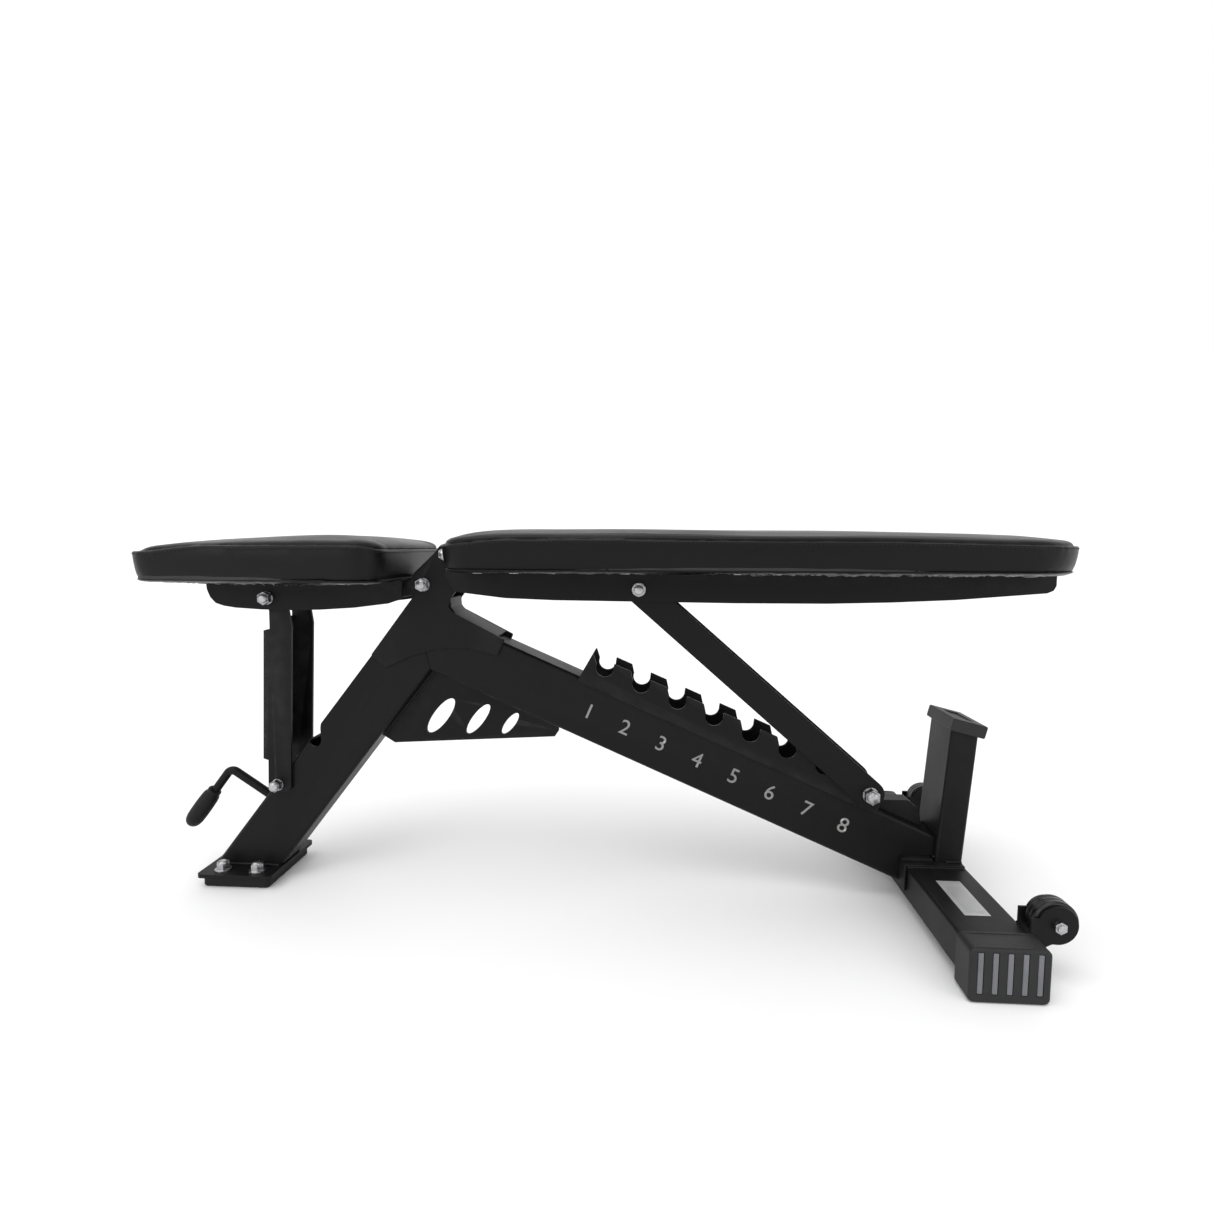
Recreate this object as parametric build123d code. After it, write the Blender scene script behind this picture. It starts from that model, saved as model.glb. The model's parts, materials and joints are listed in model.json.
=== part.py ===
from build123d import *
import math
import os

# Adjustable weight bench. +X runs to the rear end of the back pad, +Y across, +Z up, mm.
# The origin is on the floor under the middle of the bounding box.

os.makedirs("parts", exist_ok=True)

# Overall
FLOOR = 0.0
STABILIZER_HALF_LENGTH = 220.0
SEAT_PAD_FRONT = -528.0
BACK_PAD_REAR = 543.2

# Distances from the middle plane, inside to outside
TUBE_HALF = 25.0
TUBE_WALL = 3.0
HUB_PLATE = (25.0, 29.0)
SUPPORT_FLANGE = (26.2, 29.7)
STRUT_PLATE = (31.0, 35.0)
BRACKET_PLATE = (37.0, 41.0)

# Pivots and rests as (x, z)
BACK_PIVOT = (-171.5, 421.7)
SEAT_PIVOT = (-201.2, 384.2)
STRUT_PIVOT = (63.6, 380.6)
ROLLER_AXIS = (342.4, 135.9)
SUPPORT_PIVOT = (-393.8, 367.1)
SUPPORT_PIN = (-395.1, 127.8)
UPPER_NOTCH = (-347.1, 184.6)
WHEEL_AXIS = (482.5, 60.0)

# Leg and beam tubes, 70 x 50 section
TUBE_DEPTH = 70.0
LEG_ANGLE = 52.24
LEG_POINT = (-338.2, 151.9)
BEAM_ANGLE = -23.5
BEAM_POINT = (236.5, 126.9)

# Adjustment ladder, heights measured from the beam centre line
NOTCH_PITCH = 48.5
NOTCH_COUNT = 7
FIRST_NOTCH_U = -258.8
NOTCH_H = 58.2
NOTCH_RADIUS = 10.8
TOOTH_H = 67.6
LADDER_FOOT_H = 30.0
ROLLER_RADIUS = 10.0

# Stabilizer, saddle, post
STAB_X = (386.0, 456.0)
STAB_Z = (11.0, 51.0)
CAP_DEPTH = 32.0
SADDLE_TOP = 54.0
DOUBLER_TOP = 58.0
SADDLE_HALF = 43.0
POST_FRONT = 422.0
POST_DEPTH = 32.0
POST_HALF = 33.0
POST_LEAN = 4.5
CAP_SLOPE = 14.3
CAP_POINT = (451.0, 212.0)

# Front foot
FOOT_PLATE_TOP = 18.0
FOOT_RUBBER_TOP = 13.0

# Pads
SEAT_PAD_REAR = -221.0
SEAT_PAD_Z = (399.0, 441.0)
SEAT_BOARD_Z = (391.0, 399.0)
BACK_PAD_FRONT = -156.0
BACK_PAD_Z = (411.0, 451.0)
BACK_BOARD_Z = (404.5, 411.0)
PAD_HALF = 128.0
SEAT_FRONT_HALF = 112.0

# Hardware
BOLT_R = 5.0
RUNNING_R = 5.05
FIXED_R = 5.2
NUT_FLAT = 14.0
BRACKET_R = 19.5


def direction(angle):
    return (math.cos(math.radians(angle)), math.sin(math.radians(angle)))


def normal(angle):
    return (-math.sin(math.radians(angle)), math.cos(math.radians(angle)))


def on_line(point, angle, u, h):
    d = direction(angle)
    n = normal(angle)
    return (point[0] + u * d[0] + h * n[0], point[1] + u * d[1] + h * n[1])


def crossing(point_a, angle_a, point_b, angle_b):
    da = direction(angle_a)
    db = direction(angle_b)
    det = da[0] * -db[1] + db[0] * da[1]
    rx = point_b[0] - point_a[0]
    rz = point_b[1] - point_a[1]
    t = (rx * -db[1] + db[0] * rz) / det
    return (point_a[0] + t * da[0], point_a[1] + t * da[1])


def side_face(points):
    wire = Polyline(*[(x, 0, z) for x, z in points], close=True)
    return make_face(wire.edges())


def side_solid(points, y_low, y_high):
    face = side_face(points)
    solid = extrude(face, amount=y_high - y_low, dir=(0, 1, 0))
    return Pos(0, y_low, 0) * solid


def disc(centre, radius, y_low, y_high):
    middle = (y_low + y_high) / 2
    turned = Rot(90, 0, 0) * Cylinder(radius, y_high - y_low)
    return Pos(centre[0], middle, centre[1]) * turned


def block(x_low, x_high, y_low, y_high, z_low, z_high):
    size = Box(x_high - x_low, y_high - y_low, z_high - z_low)
    return Pos((x_low + x_high) / 2, (y_low + y_high) / 2, (z_low + z_high) / 2) * size


def mirrored(solid):
    return mirror(solid, about=Plane.XZ)


def hexagon_y(centre, y_low, y_high, flats):
    points = []
    corner = flats / 2 / math.cos(math.radians(30))
    for i in range(6):
        a = math.radians(60 * i + 30)
        points.append((centre[0] + corner * math.cos(a), centre[1] + corner * math.sin(a)))
    nut = side_solid(points, y_low, y_high)
    cone = disc(centre, corner * 0.985, y_low, y_high)
    return nut & cone


def cross_bolt(centre, clamp_half, radius, flats):
    """Bolt across the bench: nut and stud end on the near side, head on the far side."""
    height = radius * 1.6
    washer = 2.0
    near = -clamp_half
    shaft = disc(centre, radius, near - washer - height - 3.0, clamp_half + 1.0)
    nut = hexagon_y(centre, near - washer - height, near - washer, flats)
    head = hexagon_y(centre, clamp_half + washer, clamp_half + washer + height * 0.8, flats)
    near_washer = disc(centre, flats * 0.58, near - washer, near)
    far_washer = disc(centre, flats * 0.58, clamp_half, clamp_half + washer)
    return shaft + nut + head + near_washer + far_washer


def upright_nut(x, y, z_low):
    height = 8.0
    corner = NUT_FLAT / 2 / math.cos(math.radians(30))
    nut = extrude(Pos(x, y, z_low) * RegularPolygon(corner, 6), amount=height)
    stud = Pos(x, y, z_low + 4.8) * Cylinder(BOLT_R, 9.6)
    return nut + stud


def save(name, shape):
    if isinstance(shape, (list, tuple)):
        shape = Compound(children=list(shape))
    shape.label = name
    export_step(shape, "parts/" + name + ".step")


# ---------------------------------------------------------------- main frame
mitre = crossing(LEG_POINT, LEG_ANGLE, BEAM_POINT, BEAM_ANGLE)
half = TUBE_DEPTH / 2
leg_front_line = on_line(LEG_POINT, LEG_ANGLE, 0, half)
leg_rear_line = on_line(LEG_POINT, LEG_ANGLE, 0, -half)
beam_top_line = on_line(BEAM_POINT, BEAM_ANGLE, 0, half)
beam_low_line = on_line(BEAM_POINT, BEAM_ANGLE, 0, -half)
mitre_outer = crossing(leg_front_line, LEG_ANGLE, beam_top_line, BEAM_ANGLE)
mitre_inner = crossing(leg_rear_line, LEG_ANGLE, beam_low_line, BEAM_ANGLE)

# Leg
leg_outline = [
    crossing(leg_front_line, LEG_ANGLE, (0, FOOT_PLATE_TOP), 0),
    crossing(leg_rear_line, LEG_ANGLE, (0, FOOT_PLATE_TOP), 0),
    mitre_inner,
    mitre_outer,
]
leg = side_solid(leg_outline, -TUBE_HALF, TUBE_HALF)
corner_edges = []
for e in leg.edges():
    v = e.tangent_at(0.5)
    if abs(abs(v.X) - abs(direction(LEG_ANGLE)[0])) < 0.01 and abs(v.Y) < 0.01:
        corner_edges.append(e)
leg = fillet(corner_edges, 5.0)
inner = half - TUBE_WALL
leg_cavity = [
    on_line(LEG_POINT, LEG_ANGLE, -400, inner),
    on_line(LEG_POINT, LEG_ANGLE, -400, -inner),
    on_line(LEG_POINT, LEG_ANGLE, 400, -inner),
    on_line(LEG_POINT, LEG_ANGLE, 400, inner),
]
leg = leg - side_solid(leg_cavity, TUBE_WALL - TUBE_HALF, TUBE_HALF - TUBE_WALL)
lower_notch = side_solid(
    [
        (SUPPORT_PIN[0] + 8.3, SUPPORT_PIN[1]),
        (SUPPORT_PIN[0] + 21.0, SUPPORT_PIN[1] + 36.0),
        (SUPPORT_PIN[0] - 6, SUPPORT_PIN[1] + 42),
        (SUPPORT_PIN[0] - 30, SUPPORT_PIN[1]),
    ],
    -30,
    30,
)
upper_notch = side_solid(
    [
        (UPPER_NOTCH[0] + 8, UPPER_NOTCH[1]),
        (UPPER_NOTCH[0] + 7.2, UPPER_NOTCH[1] + 22.5),
        (UPPER_NOTCH[0] - 18, UPPER_NOTCH[1] + 22.5),
        (UPPER_NOTCH[0] - 18, UPPER_NOTCH[1]),
    ],
    -30,
    30,
)
leg = leg - lower_notch - disc(SUPPORT_PIN, 8.3, -30, 30)
leg = leg - upper_notch - disc(UPPER_NOTCH, 8.0, -30, 30)
slot = side_solid(
    [
        on_line(LEG_POINT, LEG_ANGLE, -104, half + 2),
        on_line(LEG_POINT, LEG_ANGLE, -104, half - TUBE_WALL - 2),
        on_line(LEG_POINT, LEG_ANGLE, -12, half - TUBE_WALL - 2),
        on_line(LEG_POINT, LEG_ANGLE, -12, half + 2),
    ],
    -9.5,
    9.5,
)
leg = leg - slot
save("front_leg", leg)

# Post front face, needed for the beam end
post_up = 90 - POST_LEAN
post_front_point = (POST_FRONT, SADDLE_TOP)
post_rear_point = (POST_FRONT + POST_DEPTH, SADDLE_TOP)

# Beam
beam_outline = [
    mitre_outer,
    mitre_inner,
    crossing(beam_low_line, BEAM_ANGLE, (STAB_X[0] - 3, 0), 90),
    (STAB_X[0] - 3, DOUBLER_TOP),
    crossing(post_front_point, post_up, (0, DOUBLER_TOP), 0),
    crossing(post_front_point, post_up, beam_top_line, BEAM_ANGLE),
]
beam = side_solid(beam_outline, -TUBE_HALF, TUBE_HALF)
corner_edges = []
for e in beam.edges():
    v = e.tangent_at(0.5)
    if abs(abs(v.X) - abs(direction(BEAM_ANGLE)[0])) < 0.01 and abs(v.Y) < 0.01:
        corner_edges.append(e)
beam = fillet(corner_edges, 5.0)
beam_cavity = [
    on_line(BEAM_POINT, BEAM_ANGLE, -700, inner),
    on_line(BEAM_POINT, BEAM_ANGLE, -700, -inner),
    on_line(BEAM_POINT, BEAM_ANGLE, 400, -inner),
    on_line(BEAM_POINT, BEAM_ANGLE, 400, inner),
]
beam = beam - side_solid(beam_cavity, TUBE_WALL - TUBE_HALF, TUBE_HALF - TUBE_WALL)
save("main_beam", beam)

# Hub plates carrying both hinges
hub_outline = [
    (-269.0, 296.8),
    (-251.8, 281.0),
    (-220.4, 295.5),
    (-193.0, 304.0),
    (-174.0, 306.3),
    (-148.9, 307.0),
    (-110.7, 298.1),
    (-102.5, 317.9),
    (-165.2, 350.3),
    (-170.7, 356.8),
    (-169.5, 364.5),
    (-160.0, 377.5),
    (BACK_PIVOT[0] + 12.9, BACK_PIVOT[1] - 2),
    (BACK_PIVOT[0] - 8.5, BACK_PIVOT[1] + 9.6),
    (-187.7, 422.0),
    (-213.5, 397.8),
    (-212.6, 371.7),
]
for side, name in ((-1, "hub_plate_left"), (1, "hub_plate_right")):
    low = min(side * HUB_PLATE[0], side * HUB_PLATE[1])
    high = max(side * HUB_PLATE[0], side * HUB_PLATE[1])
    plate = side_solid(hub_outline, low, high) + disc(BACK_PIVOT, 13.0, low, high)
    plate = plate - disc(BACK_PIVOT, FIXED_R, low - 1, high + 1)
    plate = plate - disc(SEAT_PIVOT, FIXED_R, low - 1, high + 1)
    save(name, plate)

web_outline = [
    (-173.0, 368.0),
    (-169.0, 368.0),
    (-168.0, 356.0),
    (-163.0, 349.0),
    (-110.0, 321.5),
    (-112.0, 317.8),
    (-166.0, 345.7),
    (-172.0, 354.0),
]
save("hub_web", side_solid(web_outline, -TUBE_HALF, TUBE_HALF))

# Gusset plate in the corner under the mitre
gusset_outline = [
    crossing(leg_rear_line, LEG_ANGLE, (0, 187.0), 0),
    (-251.7, 177.7),
    (-43.0, 190.0),
    (-37.8, 197.7),
    crossing(beam_low_line, BEAM_ANGLE, (-37.8, 0), 90),
    mitre_inner,
]
gusset = side_solid(gusset_outline, -2, 2)
for centre, long_half, short_half in (
    ((-190.5, 214.0), 28.0, 9.5),
    ((-142.0, 210.5), 24.0, 7.5),
    ((-100.5, 205.5), 17.0, 5.8),
):
    oval = Pos(centre[0], 0, centre[1]) * (Rot(0, -LEG_ANGLE, 0) * (Rot(90, 0, 0) * extrude(
        Ellipse(long_half, short_half), amount=4, both=True)))
    gusset = gusset - oval
save("gusset_plate", gusset)

# Ladder plates with the rest notches
ladder = [(-283.0, LADDER_FOOT_H), (-281.8, 45.1), (-279.3, TOOTH_H), (-277.8, TOOTH_H)]
for i in range(NOTCH_COUNT):
    u = FIRST_NOTCH_U + i * NOTCH_PITCH
    if i == 0:
        ladder += [(u - 10.8, NOTCH_H)]
    else:
        ladder += [(u - 17.6, TOOTH_H), (u - 10.8, NOTCH_H)]
    ladder += [(u + 10.8, NOTCH_H), (u + 8.6, TOOTH_H)]
roller_u = (ROLLER_AXIS[0] - BEAM_POINT[0]) * direction(BEAM_ANGLE)[0]
roller_u += (ROLLER_AXIS[1] - BEAM_POINT[1]) * direction(BEAM_ANGLE)[1]
roller_h = (ROLLER_AXIS[0] - BEAM_POINT[0]) * normal(BEAM_ANGLE)[0]
roller_h += (ROLLER_AXIS[1] - BEAM_POINT[1]) * normal(BEAM_ANGLE)[1]
last_u = FIRST_NOTCH_U + (NOTCH_COUNT - 1) * NOTCH_PITCH
ladder += [
    (last_u + 20.0, TOOTH_H),
    (roller_u - 26.6, roller_h + 8.5),
    (roller_u - 13.0, roller_h - 2.5),
    (roller_u + 10.8, roller_h),
    (roller_u + 6.5, roller_h + 10),
    (roller_u + 13, roller_h + 10),
    (roller_u + 19, roller_h - 4),
    (roller_u + 19, LADDER_FOOT_H),
]
ladder_outline = [on_line(BEAM_POINT, BEAM_ANGLE, u, h) for u, h in ladder]
for side, name in ((-1, "ladder_plate_left"), (1, "ladder_plate_right")):
    low = min(side * HUB_PLATE[0], side * HUB_PLATE[1])
    high = max(side * HUB_PLATE[0], side * HUB_PLATE[1])
    plate = side_solid(ladder_outline, low, high)
    for i in range(NOTCH_COUNT):
        u = FIRST_NOTCH_U + i * NOTCH_PITCH
        centre = on_line(BEAM_POINT, BEAM_ANGLE, u, NOTCH_H)
        plate = plate - disc(centre, NOTCH_RADIUS, low - 1, high + 1)
    plate = plate - disc(ROLLER_AXIS, NOTCH_RADIUS, low - 1, high + 1)
    save(name, plate)

# Rest block behind the last notch
rest_outline = [
    (356.0, 121.6),
    (396.3, 121.6),
    (409.4, 109.7),
    crossing(beam_top_line, BEAM_ANGLE, (412.0, 0), 90),
    crossing(beam_top_line, BEAM_ANGLE, (356.0, 0), 90),
]
save("decline_rest_block", side_solid(rest_outline, -11, 11))

# ---------------------------------------------------------------- front foot
foot_plate = block(-492, -395, -57, 57, FOOT_RUBBER_TOP, FOOT_PLATE_TOP)
foot_plate = fillet(foot_plate.edges().filter_by(Axis.Z), 6)
foot_holes = []
for x in (-465.0, -420.0):
    for y in (-42.0, 42.0):
        foot_holes.append((x, y))
for x, y in foot_holes:
    foot_plate = foot_plate - Pos(x, y, 15) * Cylinder(FIXED_R, 20)
save("front_foot_plate", foot_plate)
foot_rubber = block(-487, -400, -52, 52, FLOOR, FOOT_RUBBER_TOP)
foot_rubber = fillet(foot_rubber.edges().filter_by(Axis.Z), 6)
foot_rubber = chamfer(foot_rubber.faces().sort_by(Axis.Z)[0].edges(), 2)
for x, y in foot_holes:
    foot_rubber = foot_rubber - Pos(x, y, 10) * Cylinder(FIXED_R, 20)
save("front_foot_rubber", foot_rubber)
foot_bolts = []
for x, y in foot_holes:
    shaft = Pos(x, y, 16.5) * Cylinder(BOLT_R, 25)
    washer = Pos(x, y, FOOT_PLATE_TOP + 1) * Cylinder(10, 2)
    foot_bolts.append(shaft + washer + upright_nut(x, y, FOOT_PLATE_TOP + 2))
save("front_foot_bolts", foot_bolts)

# ---------------------------------------------------------------- rear base
stab_half = STABILIZER_HALF_LENGTH - 4
stabilizer = block(STAB_X[0], STAB_X[1], -stab_half, stab_half, STAB_Z[0], STAB_Z[1])
stabilizer = fillet(stabilizer.edges().filter_by(Axis.Y), 4)
stabilizer = stabilizer - block(
    STAB_X[0] + 2.5, STAB_X[1] - 2.5, -stab_half - 1, stab_half + 1, STAB_Z[0] + 2.5, STAB_Z[1] - 2.5)
save("rear_stabilizer", stabilizer)

saddle = block(STAB_X[0] - 3, STAB_X[1] - 3, -SADDLE_HALF, SADDLE_HALF, 22, SADDLE_TOP)
saddle = saddle - block(STAB_X[0], STAB_X[1], -60, 60, 0, STAB_Z[1])
save("saddle_plate", saddle)
doubler = block(STAB_X[0] - 3, 420, -34, 34, SADDLE_TOP, DOUBLER_TOP)
doubler = doubler - side_solid(
    [
        (POST_FRONT - 3, SADDLE_TOP - 5),
        (POST_FRONT + 40, SADDLE_TOP - 5),
        (POST_FRONT + 40, DOUBLER_TOP + 5),
        (POST_FRONT - 3, DOUBLER_TOP + 5),
    ],
    -40,
    40,
)
save("saddle_doubler", doubler)

for side, name in ((-1, "stabilizer_cap_left"), (1, "stabilizer_cap_right")):
    cap = block(STAB_X[0] - 3, STAB_X[1] + 3, STABILIZER_HALF_LENGTH - CAP_DEPTH, STABILIZER_HALF_LENGTH, FLOOR, 54)
    cap = fillet(cap.edges().filter_by(Axis.Y), 6)
    cap = fillet(cap.faces().sort_by(Axis.Y)[-1].edges(), 3)
    cap = cap - block(STAB_X[0], STAB_X[1], 100, stab_half, STAB_Z[0], STAB_Z[1])
    for i in range(5):
        x = STAB_X[0] + 7.2 + 13.8 * i
        cap = cap - block(x - 3, x + 3, STABILIZER_HALF_LENGTH - 1, STABILIZER_HALF_LENGTH + 1, 9, 50.5)
    if side < 0:
        cap = mirrored(cap)
    save(name, cap)

# Post
cap_line_angle = -CAP_SLOPE
post_outline = [
    post_front_point,
    post_rear_point,
    crossing(post_rear_point, post_up, CAP_POINT, cap_line_angle),
    crossing(post_front_point, post_up, CAP_POINT, cap_line_angle),
]
post = side_solid(post_outline, -POST_HALF, POST_HALF)
corner_edges = []
for e in post.edges():
    v = e.tangent_at(0.5)
    if abs(v.Z) > 0.9:
        corner_edges.append(e)
post = fillet(corner_edges, 4)
post_cavity = [
    (POST_FRONT + 2.5 - 1, SADDLE_TOP - 10),
    (POST_FRONT + POST_DEPTH - 2.5 - 1, SADDLE_TOP - 10),
    on_line((POST_FRONT + POST_DEPTH - 2.5, SADDLE_TOP), post_up, 300, 0),
    on_line((POST_FRONT + 2.5, SADDLE_TOP), post_up, 300, 0),
]
post = post - side_solid(post_cavity, 2.5 - POST_HALF, POST_HALF - 2.5)
save("rear_post", post)

post_cap_outline = [
    on_line(CAP_POINT, cap_line_angle, -20.5, 0),
    on_line(CAP_POINT, cap_line_angle, 20.5, 0),
    on_line(CAP_POINT, cap_line_angle, 20.5, 15),
    on_line(CAP_POINT, cap_line_angle, -20.5, 15),
]
post_cap = side_solid(post_cap_outline, -37.5, 37.5)
post_cap = fillet(post_cap.edges().filter_by(Axis.Y), 2)
groove = [
    on_line(CAP_POINT, cap_line_angle, -9, 13),
    on_line(CAP_POINT, cap_line_angle, 9, 13),
    on_line(CAP_POINT, cap_line_angle, 9, 17),
    on_line(CAP_POINT, cap_line_angle, -9, 17),
]
post_cap = post_cap - side_solid(groove, -24, 24)
save("rear_post_cap", post_cap)

# Transport wheel brackets and axles
bracket_outline = [
    (STAB_X[1], 67.0),
    (465.0, 67.0),
    (WHEEL_AXIS[0] - 5, WHEEL_AXIS[1] + BRACKET_R - 1),
    (WHEEL_AXIS[0] + 12, WHEEL_AXIS[1]),
    (WHEEL_AXIS[0] - 4, WHEEL_AXIS[1] - BRACKET_R + 0.8),
    (STAB_X[1], 30.0),
]
for side, name in ((-1, "wheel_bracket_left"), (1, "wheel_bracket_right")):
    plates = []
    for y_low, y_high in ((157.0, 160.0), (181.0, 184.0)):
        low = min(side * y_low, side * y_high)
        high = max(side * y_low, side * y_high)
        plate = side_solid(bracket_outline, low, high) + disc(WHEEL_AXIS, BRACKET_R, low, high)
        plates.append(plate - disc(WHEEL_AXIS, 4.2, low - 1, high + 1))
    save(name, plates)
axles = []
for side in (-1, 1):
    shaft = disc(WHEEL_AXIS, 4.0, 148, 191)
    head = hexagon_y(WHEEL_AXIS, 184, 189, 11)
    nut = hexagon_y(WHEEL_AXIS, 150, 157, 11)
    axle = shaft + head + nut
    axles.append(axle if side > 0 else mirrored(axle))
save("wheel_axles", axles)
for side, name in ((-1, "wheel_left"), (1, "wheel_right")):
    wheel = disc(WHEEL_AXIS, 22, 161, 180)
    wheel = fillet(wheel.edges(), 3)
    wheel = wheel - disc(WHEEL_AXIS, 4.05, 150, 190)
    for low, high in ((160.5, 164.0), (177.0, 180.5)):
        ring = disc(WHEEL_AXIS, 15, low, high) - disc(WHEEL_AXIS, 8, low - 1, high + 1)
        wheel = wheel - ring
    save(name, wheel if side > 0 else mirrored(wheel))

# Fixed pivot bolts through the hub plates
save("back_pivot_bolt", cross_bolt(BACK_PIVOT, HUB_PLATE[1], BOLT_R, NUT_FLAT))
save("seat_pivot_bolt", cross_bolt(SEAT_PIVOT, HUB_PLATE[1], BOLT_R, NUT_FLAT))

# Blank rating label on the stabilizer
save("rating_label", block(406.5, 433, -152, -76, STAB_Z[1], STAB_Z[1] + 0.4))


# ---------------------------------------------------------------- seat
def pad_outline(front, front_half, rear, rear_half, front_r, rear_r, z_low, z_high):
    face = make_face(
        Polyline(
            (front, -front_half, z_low),
            (rear, -rear_half, z_low),
            (rear, rear_half, z_low),
            (front, front_half, z_low),
            close=True,
        ).edges()
    )
    pad = extrude(face, amount=z_high - z_low, dir=(0, 0, 1))
    uprights = pad.edges().filter_by(Axis.Z).sort_by(Axis.X)
    pad = fillet(uprights[:2], front_r)
    uprights = pad.edges().filter_by(Axis.Z).sort_by(Axis.X)
    return fillet(uprights[-2:], rear_r)


seat_pad = pad_outline(
    SEAT_PAD_FRONT, SEAT_FRONT_HALF, SEAT_PAD_REAR, PAD_HALF, 35, 30, SEAT_PAD_Z[0], SEAT_PAD_Z[1])
seat_pad = fillet(seat_pad.faces().sort_by(Axis.Z)[-1].edges(), 12)
seat_pad = fillet(seat_pad.faces().sort_by(Axis.Z)[0].edges(), 5)
save("seat_pad", seat_pad)
seat_board = pad_outline(
    SEAT_PAD_FRONT + 5, SEAT_FRONT_HALF - 5, SEAT_PAD_REAR - 5, PAD_HALF - 5, 30, 25,
    SEAT_BOARD_Z[0], SEAT_BOARD_Z[1])
save("seat_board", seat_board)

seat_bracket_outline = [
    (-472.0, SEAT_BOARD_Z[0]),
    (-470.9, 377.3),
    (-467.1, 367.7),
    (-460.3, 360.4),
    (-450.0, 357.0),
    (-434.6, 354.7),
    (-400.3, 352.7),
    (-363.0, 352.2),
    (-326.5, 353.1),
    (-284.2, 355.9),
    (-242.0, 361.3),
    (-226.7, 366.5),
    (-224.2, 370.0),
    (-224.2, SEAT_BOARD_Z[0]),
]
for side, name in ((-1, "seat_bracket_left"), (1, "seat_bracket_right")):
    low = min(side * BRACKET_PLATE[0], side * BRACKET_PLATE[1])
    high = max(side * BRACKET_PLATE[0], side * BRACKET_PLATE[1])
    plate = side_solid(seat_bracket_outline, low, high)
    plate = plate - disc(SUPPORT_PIVOT, FIXED_R, low - 1, high + 1)
    tab_low = min(side * 19.0, side * BRACKET_PLATE[0])
    tab_high = max(side * 19.0, side * BRACKET_PLATE[0])
    for x in (-458.0, -320.0):
        plate = plate + block(x - 14, x + 14, tab_low, tab_high, SEAT_BOARD_Z[0] - 4, SEAT_BOARD_Z[0])
    save(name, plate)

seat_lug = disc(SEAT_PIVOT, 12.0, -24.5, 24.5)
for y_low, y_high in ((-24.5, -18.5), (18.5, 24.5)):
    lug = side_solid(
        [
            (SEAT_PIVOT[0], SEAT_PIVOT[1] - 12),
            (SEAT_PIVOT[0], SEAT_PIVOT[1] + 12),
            (-215.0, SEAT_PIVOT[1] + 11),
            (-226.0, 382.5),
            (-240.0, 382.5),
            (-240.0, 368.0),
        ],
        y_low,
        y_high,
    )
    seat_lug = seat_lug + lug
seat_lug = seat_lug + block(-240, -233, -BRACKET_PLATE[0], BRACKET_PLATE[0], 367, 382.5)
seat_lug = seat_lug - disc(SEAT_PIVOT, RUNNING_R, -30, 30)
save("seat_hinge_lug", seat_lug)
save("support_pivot_bolt", cross_bolt(SUPPORT_PIVOT, BRACKET_PLATE[1], BOLT_R, NUT_FLAT))
seat_screws = []
for x in (-458.0, -320.0):
    for y in (-27.0, 27.0):
        seat_screws.append(Pos(x, y, SEAT_BOARD_Z[0] - 6.5) * Cylinder(6, 5))
save("seat_board_screws", seat_screws)

# ---------------------------------------------------------------- seat support
flange_outline = [
    (-404.5, 118.5),
    (-383.0, 118.5),
    (-378.6, 122.5),
    (-370.2, 330.0),
    (-375.5, 367.0),
    (-383.0, 376.5),
    (-392.0, 380.0),
    (-399.5, 377.0),
    (-403.0, 368.0),
    (-398.5, 350.0),
    (-398.7, 327.5),
    (-406.6, 325.5),
    (-413.2, 161.0),
    (-406.8, 159.0),
    (-407.9, 126.0),
]
channel_web = [(-406.6, 325.0), (-413.2, 161.5), (-409.6, 161.5), (-403.0, 325.0)]
neck_web = [(-398.4, 339.0), (-398.6, 323.0), (-395.2, 323.0), (-395.0, 339.0)]
channel = side_solid(channel_web, -SUPPORT_FLANGE[1], SUPPORT_FLANGE[1])
channel = channel + side_solid(neck_web, -SUPPORT_FLANGE[1] + 0.5, SUPPORT_FLANGE[1] - 0.5)
for side in (-1, 1):
    low = min(side * SUPPORT_FLANGE[0], side * SUPPORT_FLANGE[1])
    high = max(side * SUPPORT_FLANGE[0], side * SUPPORT_FLANGE[1])
    channel = channel + side_solid(flange_outline, low, high)
channel = channel - disc(SUPPORT_PIVOT, RUNNING_R, -40, 40)
channel = channel - disc(SUPPORT_PIN, FIXED_R, -40, 40)
save("support_channel", channel)
pin_sleeve = disc(SUPPORT_PIN, 7.5, -SUPPORT_FLANGE[0], SUPPORT_FLANGE[0])
save("support_pin_sleeve", pin_sleeve - disc(SUPPORT_PIN, FIXED_R, -40, 40))
save("support_pin_bolt", cross_bolt(SUPPORT_PIN, SUPPORT_FLANGE[1], BOLT_R, 13.0))

# Handle rod bent from the pin sleeve out of the front of the leg
with BuildPart() as rod_builder:
    with BuildLine() as rod_line:
        rod_path = FilletPolyline(
            (SUPPORT_PIN[0], 0, SUPPORT_PIN[1]),
            (-406.0, 0, 92.0),
            (-475.0, 0, 137.5),
            (-518.0, 0, 81.0),
            radius=9,
        )
    with BuildSketch(Plane(origin=rod_path @ 0, z_dir=rod_path % 0)):
        Circle(5.5)
    sweep()
rod = rod_builder.part - disc(SUPPORT_PIN, 7.5, -30, 30)
grip_top = (-498.3, 107.9)
grip_end = (-536.0, 58.3)
grip_angle = math.degrees(math.atan2(grip_top[1] - grip_end[1], grip_top[0] - grip_end[0]))
grip_length = math.hypot(grip_top[0] - grip_end[0], grip_top[1] - grip_end[1])
grip_mid = ((grip_top[0] + grip_end[0]) / 2, (grip_top[1] + grip_end[1]) / 2)
grip_body = Rot(0, 90, 0) * Cylinder(11.0, grip_length)
grip_body = fillet(grip_body.edges(), 4)
grip = Pos(grip_mid[0], 0, grip_mid[1]) * (Rot(0, -grip_angle, 0) * grip_body)
grip = grip - rod
save("handle_rod", rod)
save("handle_grip", grip)

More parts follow.
